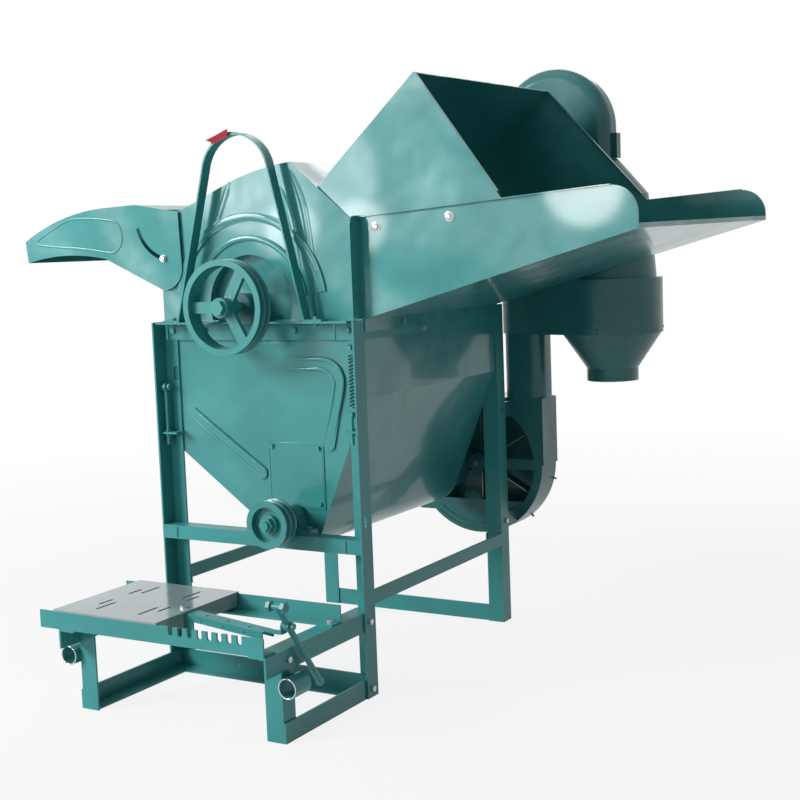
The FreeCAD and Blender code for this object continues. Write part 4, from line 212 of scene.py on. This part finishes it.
def enamel(name, colour, gloss=0.26, coat=0.35, wear=0.0, wave=0.25):
    """Brushed-on enamel on wavy sheet: faint runs and dust, dull worn spots."""
    finish = Finish(name)
    broad = finish.noise(scale=6.0, detail=4.0)
    fine = finish.noise(scale=60.0, detail=2.0)
    dark = shaded(colour, 0.84)
    light = tuple(min(1.0, c * 1.06 + 0.004) for c in colour)
    shade = finish.mix(broad.over(edge=0.5, width=0.5), dark, light)
    dust = finish.noise(scale=18.0, detail=5.0).over(edge=0.68, width=0.16) * 0.10
    shade = finish.mix(dust, shade, tuple(min(1.0, c * 0.7 + 0.2) for c in colour))
    rough = gloss + 0.08 * broad + 0.05 * fine
    if wear:
        bare = (0.42, 0.43, 0.43)
        marks = finish.noise(scale=34.0, detail=6.0, roughness=0.7).over(edge=0.72 - wear * 0.2, width=0.05)
        shade = finish.mix(marks, shade, bare)
        rough = rough + 0.2 * marks
    streaks = finish.node("ShaderNodeTexWave", {"bands_direction": "DIAGONAL"}, Vector=finish.place,
                          Scale=1.6, Distortion=8.0, Detail=1.0, Detail_Scale=1.2)
    waves = finish.noise(scale=7.0, detail=2.0, roughness=0.45)
    relief = 0.6 * waves + 0.4 * Socket(finish.tree, streaks.outputs["Fac"])
    dents = finish.bump(relief, strength=wave, distance=0.03)
    grain = finish.bump(fine, strength=0.04, distance=0.002, under=dents)
    return finish.set(Base_Color=shade, Roughness=rough, Metallic=0.0, Specular_IOR_Level=0.35,
                      Coat_Weight=coat, Coat_Roughness=0.07, Normal=grain)


def blotched_metal(finish, colour, dark_share):
    """Fine grain, and the colour of bare metal with darker blotches."""
    grain = finish.noise(scale=90.0, detail=3.0)
    blotch = finish.noise(scale=14.0, detail=4.0)
    return grain, finish.mix(blotch.over(edge=0.5, width=0.6), shaded(colour, dark_share), colour)


def part_painted(name, bare_colour, enamel_colour, mask, gloss=0.3):
    """Steel or zinc with the enamel over part of it; mask gives the part from x, y and z."""
    finish = Finish(name)
    painted = mask(*finish.axes())
    grain, bare = blotched_metal(finish, bare_colour, 0.7)
    shade = finish.mix(painted, bare, enamel_colour)
    return finish.set(Base_Color=shade, Roughness=gloss + 0.14 * grain, Metallic=1.0 - painted,
                      Normal=finish.bump(grain, strength=0.08, distance=0.001))


def bolt_paint(x, y, z):
    """Painted on the casing; bare on the base, at the tray walls and at the spout's clamp."""
    above_base = z.over(edge=0.26, width=0.02)
    above_casing = z.over(edge=0.86, width=0.02)
    above_tray = z.over(edge=0.985, width=0.01)
    return above_base * (1.0 - above_casing * (1.0 - above_tray))


def shaft_paint(x, y, z):
    """Painted where the shaft ends stand out in front of the legs."""
    return 1.0 - y.over(edge=FRONT_Y, width=0.006)


def plain_metal(name, colour, gloss):
    """Bare steel with a grain and darker blotches."""
    finish = Finish(name)
    grain, shade = blotched_metal(finish, colour, 0.75)
    return finish.set(Base_Color=shade, Roughness=gloss + 0.18 * grain, Metallic=1.0,
                      Normal=finish.bump(grain, strength=0.08, distance=0.001))


def woven_tape(name, colour):
    """Dull cloth tape with a fine square weave."""
    finish = Finish(name)
    x, y, z = finish.axes()
    threads = 2400.0
    weave = ((x * threads).math("SINE") * (y * threads).math("SINE")) * 0.5 + 0.5
    shade = finish.mix(weave, shaded(colour, 0.85), colour)
    return finish.set(Base_Color=shade, Roughness=0.85, Specular_IOR_Level=0.15,
                      Normal=finish.bump(weave, strength=0.1, distance=0.0004))


class ThresherColours(bpy.types.PropertyGroup):
    enamel: bpy.props.FloatVectorProperty(
        name="Enamel", description="Colour of the sprayed enamel on frame and casing", subtype="COLOR",
        size=3, min=0.0, max=1.0, default=(0.038, 0.290, 0.288))
    # The blower's colour is the main enamel darkened to stand in for the shade that falls on the blower and
    # its pipes at the back: painted shade. The bearings and the spring take the same darkened colour.
    blower: bpy.props.FloatVectorProperty(
        name="Blower enamel", description="Deeper colour of the blower and its pipes", subtype="COLOR",
        size=3, min=0.0, max=1.0, default=(0.020, 0.160, 0.165))
    # The motor plate's pale colour is a painted reflection of the bright surroundings over its enamel.
    plate: bpy.props.FloatVectorProperty(
        name="Motor plate", description="Pale film over the enamel of the motor plate", subtype="COLOR",
        size=3, min=0.0, max=1.0, default=(0.30, 0.37, 0.38))
    tape: bpy.props.FloatVectorProperty(
        name="Tape", description="Colour of the tape on the hoop", subtype="COLOR",
        size=3, min=0.0, max=1.0, default=(0.11, 0.003, 0.006))


class ThresherStudio(bpy.types.PropertyGroup):
    lens: bpy.props.FloatProperty(
        name="Lens", description="Focal length of the camera", unit="CAMERA", default=CAMERA_LENS)
    floor: bpy.props.FloatProperty(
        name="Floor", description="Width of the floor", unit="LENGTH", default=30.0)


class ThresherDetails(bpy.types.PropertyGroup):
    bead: bpy.props.FloatProperty(
        name="Bead", description="Half width of the beads on the spout", unit="LENGTH", default=0.0032)
    crease: bpy.props.FloatProperty(
        name="Crease", description="Half width of the hood's creases", unit="LENGTH", default=0.009)
    rib: bpy.props.FloatProperty(
        name="Rib", description="Half width of a rib's rounded crown", unit="LENGTH", default=0.0046)
    bolt: bpy.props.FloatProperty(
        name="Bolt", description="Width across flats of the tray bolts", unit="LENGTH", default=0.013)
    weld: bpy.props.FloatProperty(
        name="Weld", description="Half width of a weld bead", unit="LENGTH", default=0.0022)
    hem: bpy.props.FloatProperty(
        name="Hem", description="Half width of a rolled hem", unit="LENGTH", default=0.0022)
    rivet: bpy.props.FloatProperty(
        name="Rivet", description="Radius of a rivet head", unit="LENGTH", default=0.0042)
    clip: bpy.props.FloatProperty(
        name="Clip", description="Length of a clip on the blower's skirt", unit="LENGTH", default=0.014)


SLOT_FINISH = {
    "frame_paint": "frame_enamel", "casing_paint": "casing_enamel", "hood_paint": "hood_enamel",
    "tray_paint": "tray_enamel", "blower_paint": "blower_enamel_in_shade", "spout_paint": "spout_enamel",
    "zinc_bolts": "zinc_bolts", "red_tape": "red_tape",
}


class THRESHER_OT_stage(bpy.types.Operator):
    """Sets the floor, the lamps and the camera"""
    bl_idname = "thresher.stage"
    bl_label = "Stage"

    def execute(self, context):
        studio = context.scene.thresher_studio
        deselect()
        bpy.ops.mesh.primitive_plane_add(size=studio.floor, location=(0, 0, 0))
        floor = context.object
        floor.name = "studio_floor"
        finish = Finish("studio_floor")
        floor.data.materials.append(finish.set(Base_Color=(FLOOR_GREY,) * 3, Roughness=0.9))
        white_to_camera(finish)
        world_light(context.scene)
        for name, spot, size, power in LAMPS:
            bpy.ops.object.light_add(type="AREA", location=spot)
            lamp = context.object
            lamp.name = name
            lamp.data.shape = "DISK"
            lamp.data.size = size
            lamp.data.energy = power
            aim = Vector(LAMP_AIM) - Vector(spot)
            lamp.rotation_mode = "QUATERNION"
            lamp.rotation_quaternion = aim.to_track_quat("-Z", "Y")
        bpy.ops.object.camera_add()
        camera = context.object
        camera.name = "photo_camera"
        camera.data.lens = studio.lens
        camera.data.sensor_width = CAMERA_SENSOR
        camera.matrix_world = camera_matrix()
        context.scene.camera = camera
        context.scene.view_settings.view_transform = "Standard"
        return {"FINISHED"}


def seen_rays(tree):
    """One for rays sent by the camera, a mirror or glass, and zero for the others."""
    path = tree.nodes.new("ShaderNodeLightPath")
    camera, mirror, through = (Socket(tree, path.outputs["Is %s Ray" % kind])
                               for kind in ("Camera", "Glossy", "Transmission"))
    return (camera + mirror + through).math("MINIMUM", 1.0)


def blended(tree, share, low, high, output):
    """Mixes two shaders by the share and sends them to the output."""
    blend = tree.nodes.new("ShaderNodeMixShader")
    tree.links.new(share.link, blend.inputs[0])
    tree.links.new(low.outputs[0], blend.inputs[1])
    tree.links.new(high.outputs[0], blend.inputs[2])
    tree.links.new(blend.outputs[0], output.inputs["Surface"])


def white_to_camera(finish):
    """The floor looks white where it is seen straight on, and keeps a little of its shadow."""
    tree = finish.tree
    output = next(n for n in tree.nodes if n.type == "OUTPUT_MATERIAL")
    glow = tree.nodes.new("ShaderNodeEmission")
    glow.inputs["Color"].default_value = WHITE
    x, y, z = finish.axes()
    fade_start, near_share, far_share = 2.6, 0.86, 0.14
    far = ((x * x + y * y) ** 0.5).over(edge=fade_start, width=fade_start)
    blended(tree, seen_rays(tree) * (near_share + far_share * far), finish.shader, glow, output)


def backdrop(tree, strength):
    """White background light of the given strength."""
    light = tree.nodes.new("ShaderNodeBackground")
    light.inputs["Color"].default_value = WHITE
    light.inputs["Strength"].default_value = strength
    return light


def world_light(scene):
    """Weak white fill light that the camera sees as plain white."""
    world = scene.world or bpy.data.worlds.new("studio_world")
    scene.world = world
    world.use_nodes = True
    tree = world.node_tree
    tree.nodes.clear()
    output = tree.nodes.new("ShaderNodeOutputWorld")
    blended(tree, seen_rays(tree), backdrop(tree, FILL_LIGHT), backdrop(tree, 1.0), output)


def camera_matrix():
    """Place and turn of the photograph's camera."""
    yaw, pitch, roll = (math.radians(v) for v in (CAMERA_YAW, CAMERA_PITCH, CAMERA_ROLL))
    forward = Vector((-math.sin(yaw) * math.cos(pitch), math.cos(yaw) * math.cos(pitch),
                      -math.sin(pitch)))
    right = Vector((math.cos(yaw), math.sin(yaw), 0.0))
    down = forward.cross(right)
    level = right * math.cos(roll) + down * math.sin(roll)
    under = down * math.cos(roll) - right * math.sin(roll)
    turn = Matrix((level, -under, -forward)).transposed().to_4x4()
    return Matrix.Translation(place(*CAMERA_SPOT)) @ turn


class THRESHER_OT_paint(bpy.types.Operator):
    """Gives every piece of the construction its finish"""
    bl_idname = "thresher.paint"
    bl_label = "Paint"

    def execute(self, context):
        colours = context.scene.thresher_colours
        main = tuple(colours.enamel)
        # Main enamel darkened as painted shade for the blower at the back; the bearings and the spring
        # reuse it.
        enamel_in_shade = tuple(colours.blower)
        finishes = {
            "frame_paint": enamel("frame_enamel", main, gloss=0.34, coat=0.12, wear=0.12, wave=0.1),
            "casing_paint": enamel("casing_enamel", main, coat=0.45, wave=0.5),
            "hood_paint": enamel("hood_enamel", main, coat=0.5, wave=0.75),
            "tray_paint": enamel("tray_enamel", main, coat=0.5, wave=0.6),
            # Blower in the darkened enamel: painted shade.
            "blower_paint": enamel("blower_enamel_in_shade", enamel_in_shade, gloss=0.30, coat=0.15),
            "spout_paint": enamel("spout_enamel", main, coat=0.4, wave=0.5),
            "pulley_paint": enamel("pulley_enamel", main, gloss=0.30, coat=0.3, wear=0.2, wave=0.05),
            # Pale base colour on the motor plate: painted reflection.
            "plate_paint": enamel("plate_painted_reflection", tuple(colours.plate), gloss=0.10, coat=0.5, wear=0.1,
                                  wave=0.03),
            "bearing_iron": enamel("bearing_enamel", enamel_in_shade, gloss=0.38, coat=0.3),
            "concave_steel": plain_metal("concave_steel", (0.30, 0.31, 0.32), 0.35),
            "rotor_steel": plain_metal("rotor_steel", (0.34, 0.35, 0.36), 0.32),
            "shaft_steel": part_painted("shaft_steel", (0.55, 0.55, 0.56), main, shaft_paint, gloss=0.24),
            "zinc_bolts": part_painted("zinc_bolts", (0.50, 0.51, 0.53), main, bolt_paint),
            "spring_wire": enamel("spring_enamel", enamel_in_shade, gloss=0.3, coat=0.4, wear=0.3),
            "red_tape": woven_tape("red_tape", tuple(colours.tape)),
        }
        slots = {s["node"]: s["material_slot"] for s in frame["record"]["subparts"]}
        for name, node in frame["nodes"].items():
            node.data.materials.clear()
            node.data.materials.append(finishes[slots[name]])
            only(node)
            bpy.ops.object.shade_smooth_by_angle(angle=math.radians(CAD_EDGE_ANGLE))
        return {"FINISHED"}


def deselect():
    """Leaves nothing selected."""
    bpy.ops.object.select_all(action="DESELECT")


def only(thing):
    """Selects one object alone and makes it active."""
    deselect()
    thing.select_set(True)
    bpy.context.view_layer.objects.active = thing


def apply_all(thing):
    """Puts an object's place, turn and scale into its mesh."""
    only(thing)
    bpy.ops.object.transform_apply(location=True, rotation=True, scale=True)


def merged(name, things):
    """Joins several pieces into one object with clean outward faces."""
    deselect()
    for thing in things:
        thing.select_set(True)
    bpy.context.view_layer.objects.active = things[0]
    if len(things) > 1:
        bpy.ops.object.join()
    whole = bpy.context.object
    whole.name = name
    apply_all(whole)
    bpy.ops.object.mode_set(mode="EDIT")
    bpy.ops.mesh.select_all(action="SELECT")
    bpy.ops.mesh.remove_doubles(threshold=MERGE_GAP)
    bpy.ops.mesh.normals_make_consistent(inside=False)
    bpy.ops.object.mode_set(mode="OBJECT")
    bpy.ops.object.shade_smooth_by_angle(angle=math.radians(EDGE_ANGLE))
    return whole


def hand_over(whole, body, slot_name):
    """Gives a finished piece the material of its slot and the body that it rides on."""
    whole.data.materials.clear()
    whole.data.materials.append(bpy.data.materials[SLOT_FINISH[slot_name]])
    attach(whole, body)


def smoothed(points, steps=6, closed=False):
    """Even curve through the given points."""
    spots = [Vector(p) for p in points]
    count = len(spots)
    result = []
    for i in range(count if closed else count - 1):
        if closed:
            a, b, c, d = (spots[(i + k) % count] for k in (-1, 0, 1, 2))
        else:
            a, b = spots[max(i - 1, 0)], spots[i]
            c, d = spots[i + 1], spots[min(i + 2, count - 1)]
        for step in range(steps):
            t = step / steps
            result.append(0.5 * (2 * b + (c - a) * t + (2 * a - 5 * b + 4 * c - d) * t * t
                                 + (3 * b - a - 3 * c + d) * t ** 3))
    return result if closed else result + [spots[-1]]


def fading(count):
    """Thickness shares that swell from thin ends."""
    thinnest, slope = 0.2, 5.0
    return [max(thinnest, min(1.0, slope * i / count, slope * (count - 1 - i) / count))
            for i in range(count)]


def bead(points, radius, closed=False, flat=None, thickness=None):
    """Round bead along a line of points in metres; flat squeezes it along one axis."""
    bpy.ops.curve.primitive_nurbs_path_add(location=(0, 0, 0))
    curve = bpy.context.object
    data = curve.data
    data.splines.clear()
    line = data.splines.new("POLY")
    line.points.add(len(points) - 1)
    for i, (knot, spot) in enumerate(zip(line.points, points)):
        knot.co = (*spot, 1.0)
        knot.radius = thickness[i % len(thickness)] if thickness else 1.0
    line.use_cyclic_u = closed
    data.dimensions = "3D"
    data.bevel_depth = radius
    data.bevel_resolution = BEVEL_STEPS
    data.use_fill_caps = not closed
    only(curve)
    bpy.ops.object.convert(target="MESH")
    made = bpy.context.object
    if flat:
        axis, share = flat
        middle = sum((v.co[axis] for v in made.data.vertices)) / len(made.data.vertices)
        for v in made.data.vertices:
            v.co[axis] = middle + (v.co[axis] - middle) * share
    return made


def on_y(y, corners):
    """Points given as x and z in millimetres on a plane across the machine."""
    return [spot_mm(x, y, z) for x, z in corners]


def bevelled(offset):
    """Bevels every edge of the active object."""
    bpy.ops.object.mode_set(mode="EDIT")
    bpy.ops.mesh.select_all(action="SELECT")
    bpy.ops.mesh.bevel(offset=offset, segments=BEVEL_STEPS)
    bpy.ops.object.mode_set(mode="OBJECT")


def hex_head(across, height, washer):
    """Bolt head with a chamfered crown on a washer, its axis along Z and its foot at zero."""
    washer_r, washer_thick = washer
    head_chamfer, washer_chamfer = 0.12, 0.3
    bpy.ops.mesh.primitive_cylinder_add(vertices=6, radius=across / math.sqrt(3.0), depth=height,
                                        location=(0, 0, washer_thick + height / 2))
    head = bpy.context.object
    bevelled(height * head_chamfer)
    bpy.ops.mesh.primitive_cylinder_add(vertices=28, radius=washer_r, depth=washer_thick,
                                        location=(0, 0, washer_thick / 2))
    ring = bpy.context.object
    bevelled(washer_thick * washer_chamfer)
    return merged("hex_head", [head, ring])


def dome_head(radius, height):
    """Low round rivet head, its axis along Z and its foot at zero."""
    bpy.ops.mesh.primitive_uv_sphere_add(segments=20, ring_count=10, radius=radius)
    ball = bpy.context.object
    bpy.ops.object.mode_set(mode="EDIT")
    bpy.ops.mesh.select_all(action="SELECT")
    bpy.ops.mesh.bisect(plane_co=(0, 0, 0), plane_no=(0, 0, 1), clear_inner=True, use_fill=True)
    bpy.ops.object.mode_set(mode="OBJECT")
    ball.scale[2] = height / radius
    apply_all(ball)
    return ball


def set_on(pattern, spots, outward):
    """Copies a pattern, each with its own mesh, to the spots and turns it outward."""
    made = []
    for spot, way in zip(spots, outward):
        copy = pattern.copy()
        copy.data = pattern.data.copy()
        bpy.context.collection.objects.link(copy)
        copy.rotation_mode = "QUATERNION"
        copy.rotation_quaternion = Vector(way).to_track_quat("Z", "Y")
        copy.location = spot
        made.append(copy)
    bpy.data.objects.remove(pattern, do_unlink=True)
    for copy in made:
        apply_all(copy)
    return made


def spot_mm(x, y, z):
    """Point given in millimetres from the middle of the front legs."""
    return place(x * MM, y * MM, z * MM)


class THRESHER_OT_spout_beads(bpy.types.Operator):
    """Pressed beads on the two cheeks of the outlet spout"""
    bl_idname = "thresher.spout_beads"
    bl_label = "Spout beads"

    def execute(self, context):
        sizes = context.scene.thresher_details
        flatness = 0.45
        loop = [(-619, 961), (-560, 992), (-508, 1010), (-430, 1008), (-372, 996),
                (-360, 958), (-384, 932), (-440, 938), (-498, 945), (-560, 950)]
        made = []
        for y in CHEEK_PLANES:
            path = smoothed(on_y(y, loop), steps=5, closed=True)
            made.append(bead(path, sizes.bead, closed=True, flat=(ACROSS, flatness)))
        hand_over(merged("spout_beads", made), "spout", "spout_paint")
        return {"FINISHED"}


class THRESHER_OT_hood_creases(bpy.types.Operator):
    """Pressed creases fanned round the drum bearing on the hood's end panels"""
    bl_idname = "thresher.hood_creases"
    bl_label = "Hood creases"

    def execute(self, context):
        sizes = context.scene.thresher_details
        flatness = 0.15
        left = [(-58, 1069), (-82, 1022), (-107, 970), (-129, 922)]
        right = [(97, 1085), (123, 1022), (136, 947), (144, 859), (147, 790)]
        inner = [(62, 1060), (86, 1010), (101, 952), (110, 880)]
        swell = [0.35, 0.7, 0.95, 1.0, 1.0, 1.0, 0.95, 0.8, 0.55, 0.3]
        made = []
        for y in PANEL_PLANES:
            for line in (left, right, inner):
                path = smoothed(on_y(y, line))
                last = len(path) - 1
                spread = [swell[round(i * (len(swell) - 1) / last)] for i in range(len(path))]
                made.append(bead(path, sizes.crease, flat=(ACROSS, flatness), thickness=spread))
        hand_over(merged("hood_creases", made), "frame", "hood_paint")
        return {"FINISHED"}


class THRESHER_OT_rib_crowns(bpy.types.Operator):
    """Rounded crowns on the pressed ribs of the casing and on the arches of the hood"""
    bl_idname = "thresher.rib_crowns"
    bl_label = "Rib crowns"

    def execute(self, context):
        sizes = context.scene.thresher_details
        hand_over(merged("casing_crowns", self.casing_crowns(sizes)), "frame", "casing_paint")
        hand_over(merged("hood_crowns", self.arch_crowns(sizes)), "frame", "hood_paint")
        return {"FINISHED"}

    def casing_crowns(self, sizes):
        flatness = 0.45
        corner_out = [(72, 695), (110, 696), (158, 696), (186, 687),
                      (202, 668), (205, 641), (190, 580), (176, 526)]
        corner_in = [(72, 677), (110, 676), (150, 676), (170, 669),
                     (182, 655), (184, 640), (170, 580), (156, 528)]
        slope_high = [(-182, 580), (-92, 518.5), (-6, 460)]
        slope_low = [(-193, 567), (-104, 506), (-16, 446)]
        made = []
        for line in (corner_out, corner_in, slope_high, slope_low):
            path = smoothed(on_y(RIB_PLANES[0], line))
            made.append(bead(path, sizes.rib, flat=(ACROSS, flatness), thickness=fading(len(path))))
        return made

    def arch_crowns(self, sizes):
        arches = ((141.0, 1.0), (185.5, 1.45))
        points, start, sweep = 57, 9, 162
        thickness, flatness = 1.3, 0.32
        low_from, low_over, lowest = 42, 8, 0.4
        made = []
        for y in RIB_PLANES:
            for radius, width in arches:
                arc = []
                for i in range(points):
                    angle = math.radians(start + sweep * i / (points - 1))
                    arc.append((DRUM_X + radius * math.cos(angle), DRUM_Z + radius * math.sin(angle)))
                path = on_y(y, arc)
                # Low on the left, where the raised spout's cheek passes in front of the arch.
                swell = [min(share, max(lowest, (low_from - i) / low_over))
                         for i, share in enumerate(fading(len(path)))]
                made.append(bead(path, sizes.rib * thickness * width, flat=(ACROSS, flatness / width),
                                 thickness=swell))
        return made


class THRESHER_OT_socket_rims(bpy.types.Operator):
    """Bright worn rims at the mouths of the carrying pole's sockets"""
    bl_idname = "thresher.socket_rims"
    bl_label = "Socket rims"

    def execute(self, context):
        socket_x, socket_z = 272.4, 113.0
        mouths = (-299.6, -250.4)
        rim_r, rim_wire_r = 0.0190, 0.0013
        made = []
        for side in (-1, 1):
            for y in mouths:
                bpy.ops.mesh.primitive_torus_add(
                    major_segments=48, minor_segments=10, major_radius=rim_r, minor_radius=rim_wire_r,
                    rotation=(math.pi / 2, 0, 0), location=spot_mm(side * socket_x, y, socket_z))
                made.append(bpy.context.object)
        hand_over(merged("socket_rims", made), "frame", "zinc_bolts")
        return {"FINISHED"}


class THRESHER_OT_tray_bolts(bpy.types.Operator):
    """Bare bolts with washers through the tray walls"""
    bl_idname = "thresher.tray_bolts"
    bl_label = "Tray bolts"

    def execute(self, context):
        sizes = context.scene.thresher_details
        wall_start_x, wall_length = 258, 600
        near_y, near_flare = 38.6, 27.5
        far_y, far_flare = 634.5, 27.0
        head_height, washer_r, washer_thick = sizes.bolt * 0.42, sizes.bolt * 0.78, 0.0016
        spots, ways = [], []
        for x, z in ((300, 961), (470, 974)):
            share = (x - wall_start_x) / wall_length
            spots.append(spot_mm(x, near_y - near_flare * share, z))
            spots.append(spot_mm(x, far_y + far_flare * share, z))
            ways += [FORWARD, BACKWARD]
        heads = set_on(hex_head(sizes.bolt, head_height, (washer_r, washer_thick)), spots, ways)
        hand_over(merged("tray_bolts", heads), "frame", "zinc_bolts")
        return {"FINISHED"}


class THRESHER_OT_welds(bpy.types.Operator):
    """Lumpy weld beads where rails, feet and sockets meet"""
    bl_idname = "thresher.welds"
    bl_label = "Weld beads"

    def execute(self, context):
        sizes = context.scene.thresher_details
        least_steps, step_share = 8, 0.7
        wobble = [0.8, 1.15, 0.9, 1.2, 0.85, 1.05, 1.2, 0.75]
        # Both ends of each bead on the right; the left side mirrors them.
        seams = [
            ((219, 36.2, 300.5), (219, 36.2, 329)),
            ((220, -0.2, 303), (220, -0.2, 327)),
            ((256.5, 38, 141), (256.5, 2, 141)),
            ((251, -336.5, 181), (218, -336.5, 181)),
            ((220, 41, 192), (220, 41, 220)),
            ((220, 632, 192), (220, 632, 220)),
            ((216, -0.2, 739), (216, -0.2, 773)),
            ((256.6, -298, 126), (256.6, -252, 126)),
            ((256.6, -298, 100), (256.6, -252, 100)),
        ]
        made = []
        for side in (-1, 1):
            for start, end in seams:
                a, b = (spot_mm(side * x, y, z) for x, y, z in (start, end))
                count = max(least_steps, int((b - a).length / (sizes.weld * step_share)))
                path = [a.lerp(b, i / count) for i in range(count + 1)]
                made.append(bead(path, sizes.weld, thickness=wobble))
        hand_over(merged("weld_beads", made), "frame", "frame_paint")
        return {"FINISHED"}


class THRESHER_OT_hems(bpy.types.Operator):
    """Rolled hem round the inspection cover"""
    bl_idname = "thresher.hems"
    bl_label = "Rolled hem"

    def execute(self, context):
        sizes = context.scene.thresher_details
        flatness = 0.5
        cover = [(12, 386), (146, 386), (146, 500), (128, 518), (12, 518)]
        made = [bead(on_y(COVER_PLANE, cover), sizes.hem, closed=True, flat=(ACROSS, flatness))]
        hand_over(merged("cover_hem", made), "frame", "casing_paint")
        return {"FINISHED"}


class THRESHER_OT_red_tag(bpy.types.Operator):
    """Loose end of the red tape on the hoop's crest"""
    bl_idname = "thresher.red_tag"
    bl_label = "Red tag"

    def execute(self, context):
        corners = [(-84, 1156), (-25, 1175), (-27, 1160), (-62, 1148)]
        tape_y, ripple, ripple_turns, lean, tape_thick = -1.5, 1.2, 5.0, 1.5, 0.0006
        bpy.ops.mesh.primitive_grid_add(x_subdivisions=12, y_subdivisions=5, size=1.0)
        tag = context.object
        top_left, top_right, low_right, low_left = (Vector((x, 0, z)) for x, z in corners)
        for v in tag.data.vertices:
            u, w = v.co.x + 0.5, v.co.y + 0.5
            spot = low_left.lerp(low_right, u).lerp(top_left.lerp(top_right, u), w)
            v.co = spot_mm(spot.x, tape_y + ripple * math.sin(ripple_turns * u) - lean * w, spot.z)
        sheet = tag.modifiers.new("thickness", "SOLIDIFY")
        sheet.thickness = tape_thick
        only(tag)
        bpy.ops.object.modifier_apply(modifier=sheet.name)
        hand_over(merged("red_tag", [tag]), "frame", "red_tape")
        return {"FINISHED"}


class THRESHER_OT_rivets(bpy.types.Operator):
    """Round rivet heads low on the grain separator's band"""
    bl_idname = "thresher.rivets"
    bl_label = "Rivets"

    def execute(self, context):
        sizes = context.scene.thresher_details
        angles, height_share = (275, 335, 25, 65), 0.5
        spots, ways = [], []
        for angle in angles:
            way = Vector((math.cos(math.radians(angle)), math.sin(math.radians(angle)), 0))
            spots.append(spot_mm(SEPARATOR_X + SEPARATOR_BAND_R * way.x,
                                 SEPARATOR_Y + SEPARATOR_BAND_R * way.y, SEPARATOR_RIVET_Z))
            ways.append(way)
        heads = set_on(dome_head(sizes.rivet, sizes.rivet * height_share), spots, ways)
        hand_over(merged("separator_rivets", heads), "frame", "blower_paint")
        return {"FINISHED"}


class THRESHER_OT_blower_clips(bpy.types.Operator):
    """Bent clips that hold the back sheet to the blower's skirt"""
    bl_idname = "thresher.blower_clips"
    bl_label = "Blower clips"

    def execute(self, context):
        sizes = context.scene.thresher_details
        angles = (-90, -52, -14)
        width_share, depth_share, bevel_share = 0.45, 0.3, 0.08
        bpy.ops.mesh.primitive_cube_add(size=1.0, location=(0, 0, 0))
        clip = context.object
        clip.scale = (sizes.clip * width_share, sizes.clip * depth_share, sizes.clip)
        apply_all(clip)
        bevelled(sizes.clip * bevel_share)
        spots, ways = [], []
        for angle in angles:
            way = Vector((math.cos(math.radians(angle)), 0, math.sin(math.radians(angle))))
            spots.append(spot_mm(BLOWER_X + BLOWER_SKIRT_R * way.x, BLOWER_CLIP_Y,
                                 BLOWER_Z + BLOWER_SKIRT_R * way.z))
            ways.append(way)
        hand_over(merged("blower_clips", set_on(clip, spots, ways)), "frame", "blower_paint")
        return {"FINISHED"}


class THRESHER_PT_panel(bpy.types.Panel):
    """Lists the steps that dress the machine"""
    bl_idname = "THRESHER_PT_panel"
    bl_label = "Threshing machine"
    bl_space_type = "VIEW_3D"
    bl_region_type = "UI"
    bl_category = "Thresher"

    def draw(self, context):
        scene = context.scene
        for group in (scene.thresher_colours, scene.thresher_details, scene.thresher_studio):
            for key in group.__annotations__:
                self.layout.prop(group, key)
        for step in STEPS:
            self.layout.operator(step.bl_idname)


STEPS = [THRESHER_OT_paint, THRESHER_OT_spout_beads, THRESHER_OT_hood_creases, THRESHER_OT_rib_crowns,
         THRESHER_OT_socket_rims, THRESHER_OT_tray_bolts, THRESHER_OT_welds, THRESHER_OT_hems,
         THRESHER_OT_red_tag, THRESHER_OT_rivets, THRESHER_OT_blower_clips, THRESHER_OT_stage]
GROUPS = [ThresherColours, ThresherDetails, ThresherStudio]


def register():
    for item in GROUPS + STEPS + [THRESHER_PT_panel]:
        bpy.utils.register_class(item)
    bpy.types.Scene.thresher_colours = bpy.props.PointerProperty(type=ThresherColours)
    bpy.types.Scene.thresher_details = bpy.props.PointerProperty(type=ThresherDetails)
    bpy.types.Scene.thresher_studio = bpy.props.PointerProperty(type=ThresherStudio)


def unregister():
    del bpy.types.Scene.thresher_studio
    del bpy.types.Scene.thresher_details
    del bpy.types.Scene.thresher_colours
    for item in reversed(GROUPS + STEPS + [THRESHER_PT_panel]):
        bpy.utils.unregister_class(item)


def main():
    register()
    for step in STEPS:
        group, name = step.bl_idname.split(".")
        getattr(getattr(bpy.ops, group), name)()
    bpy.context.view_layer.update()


if __name__ == "__main__":
    main()
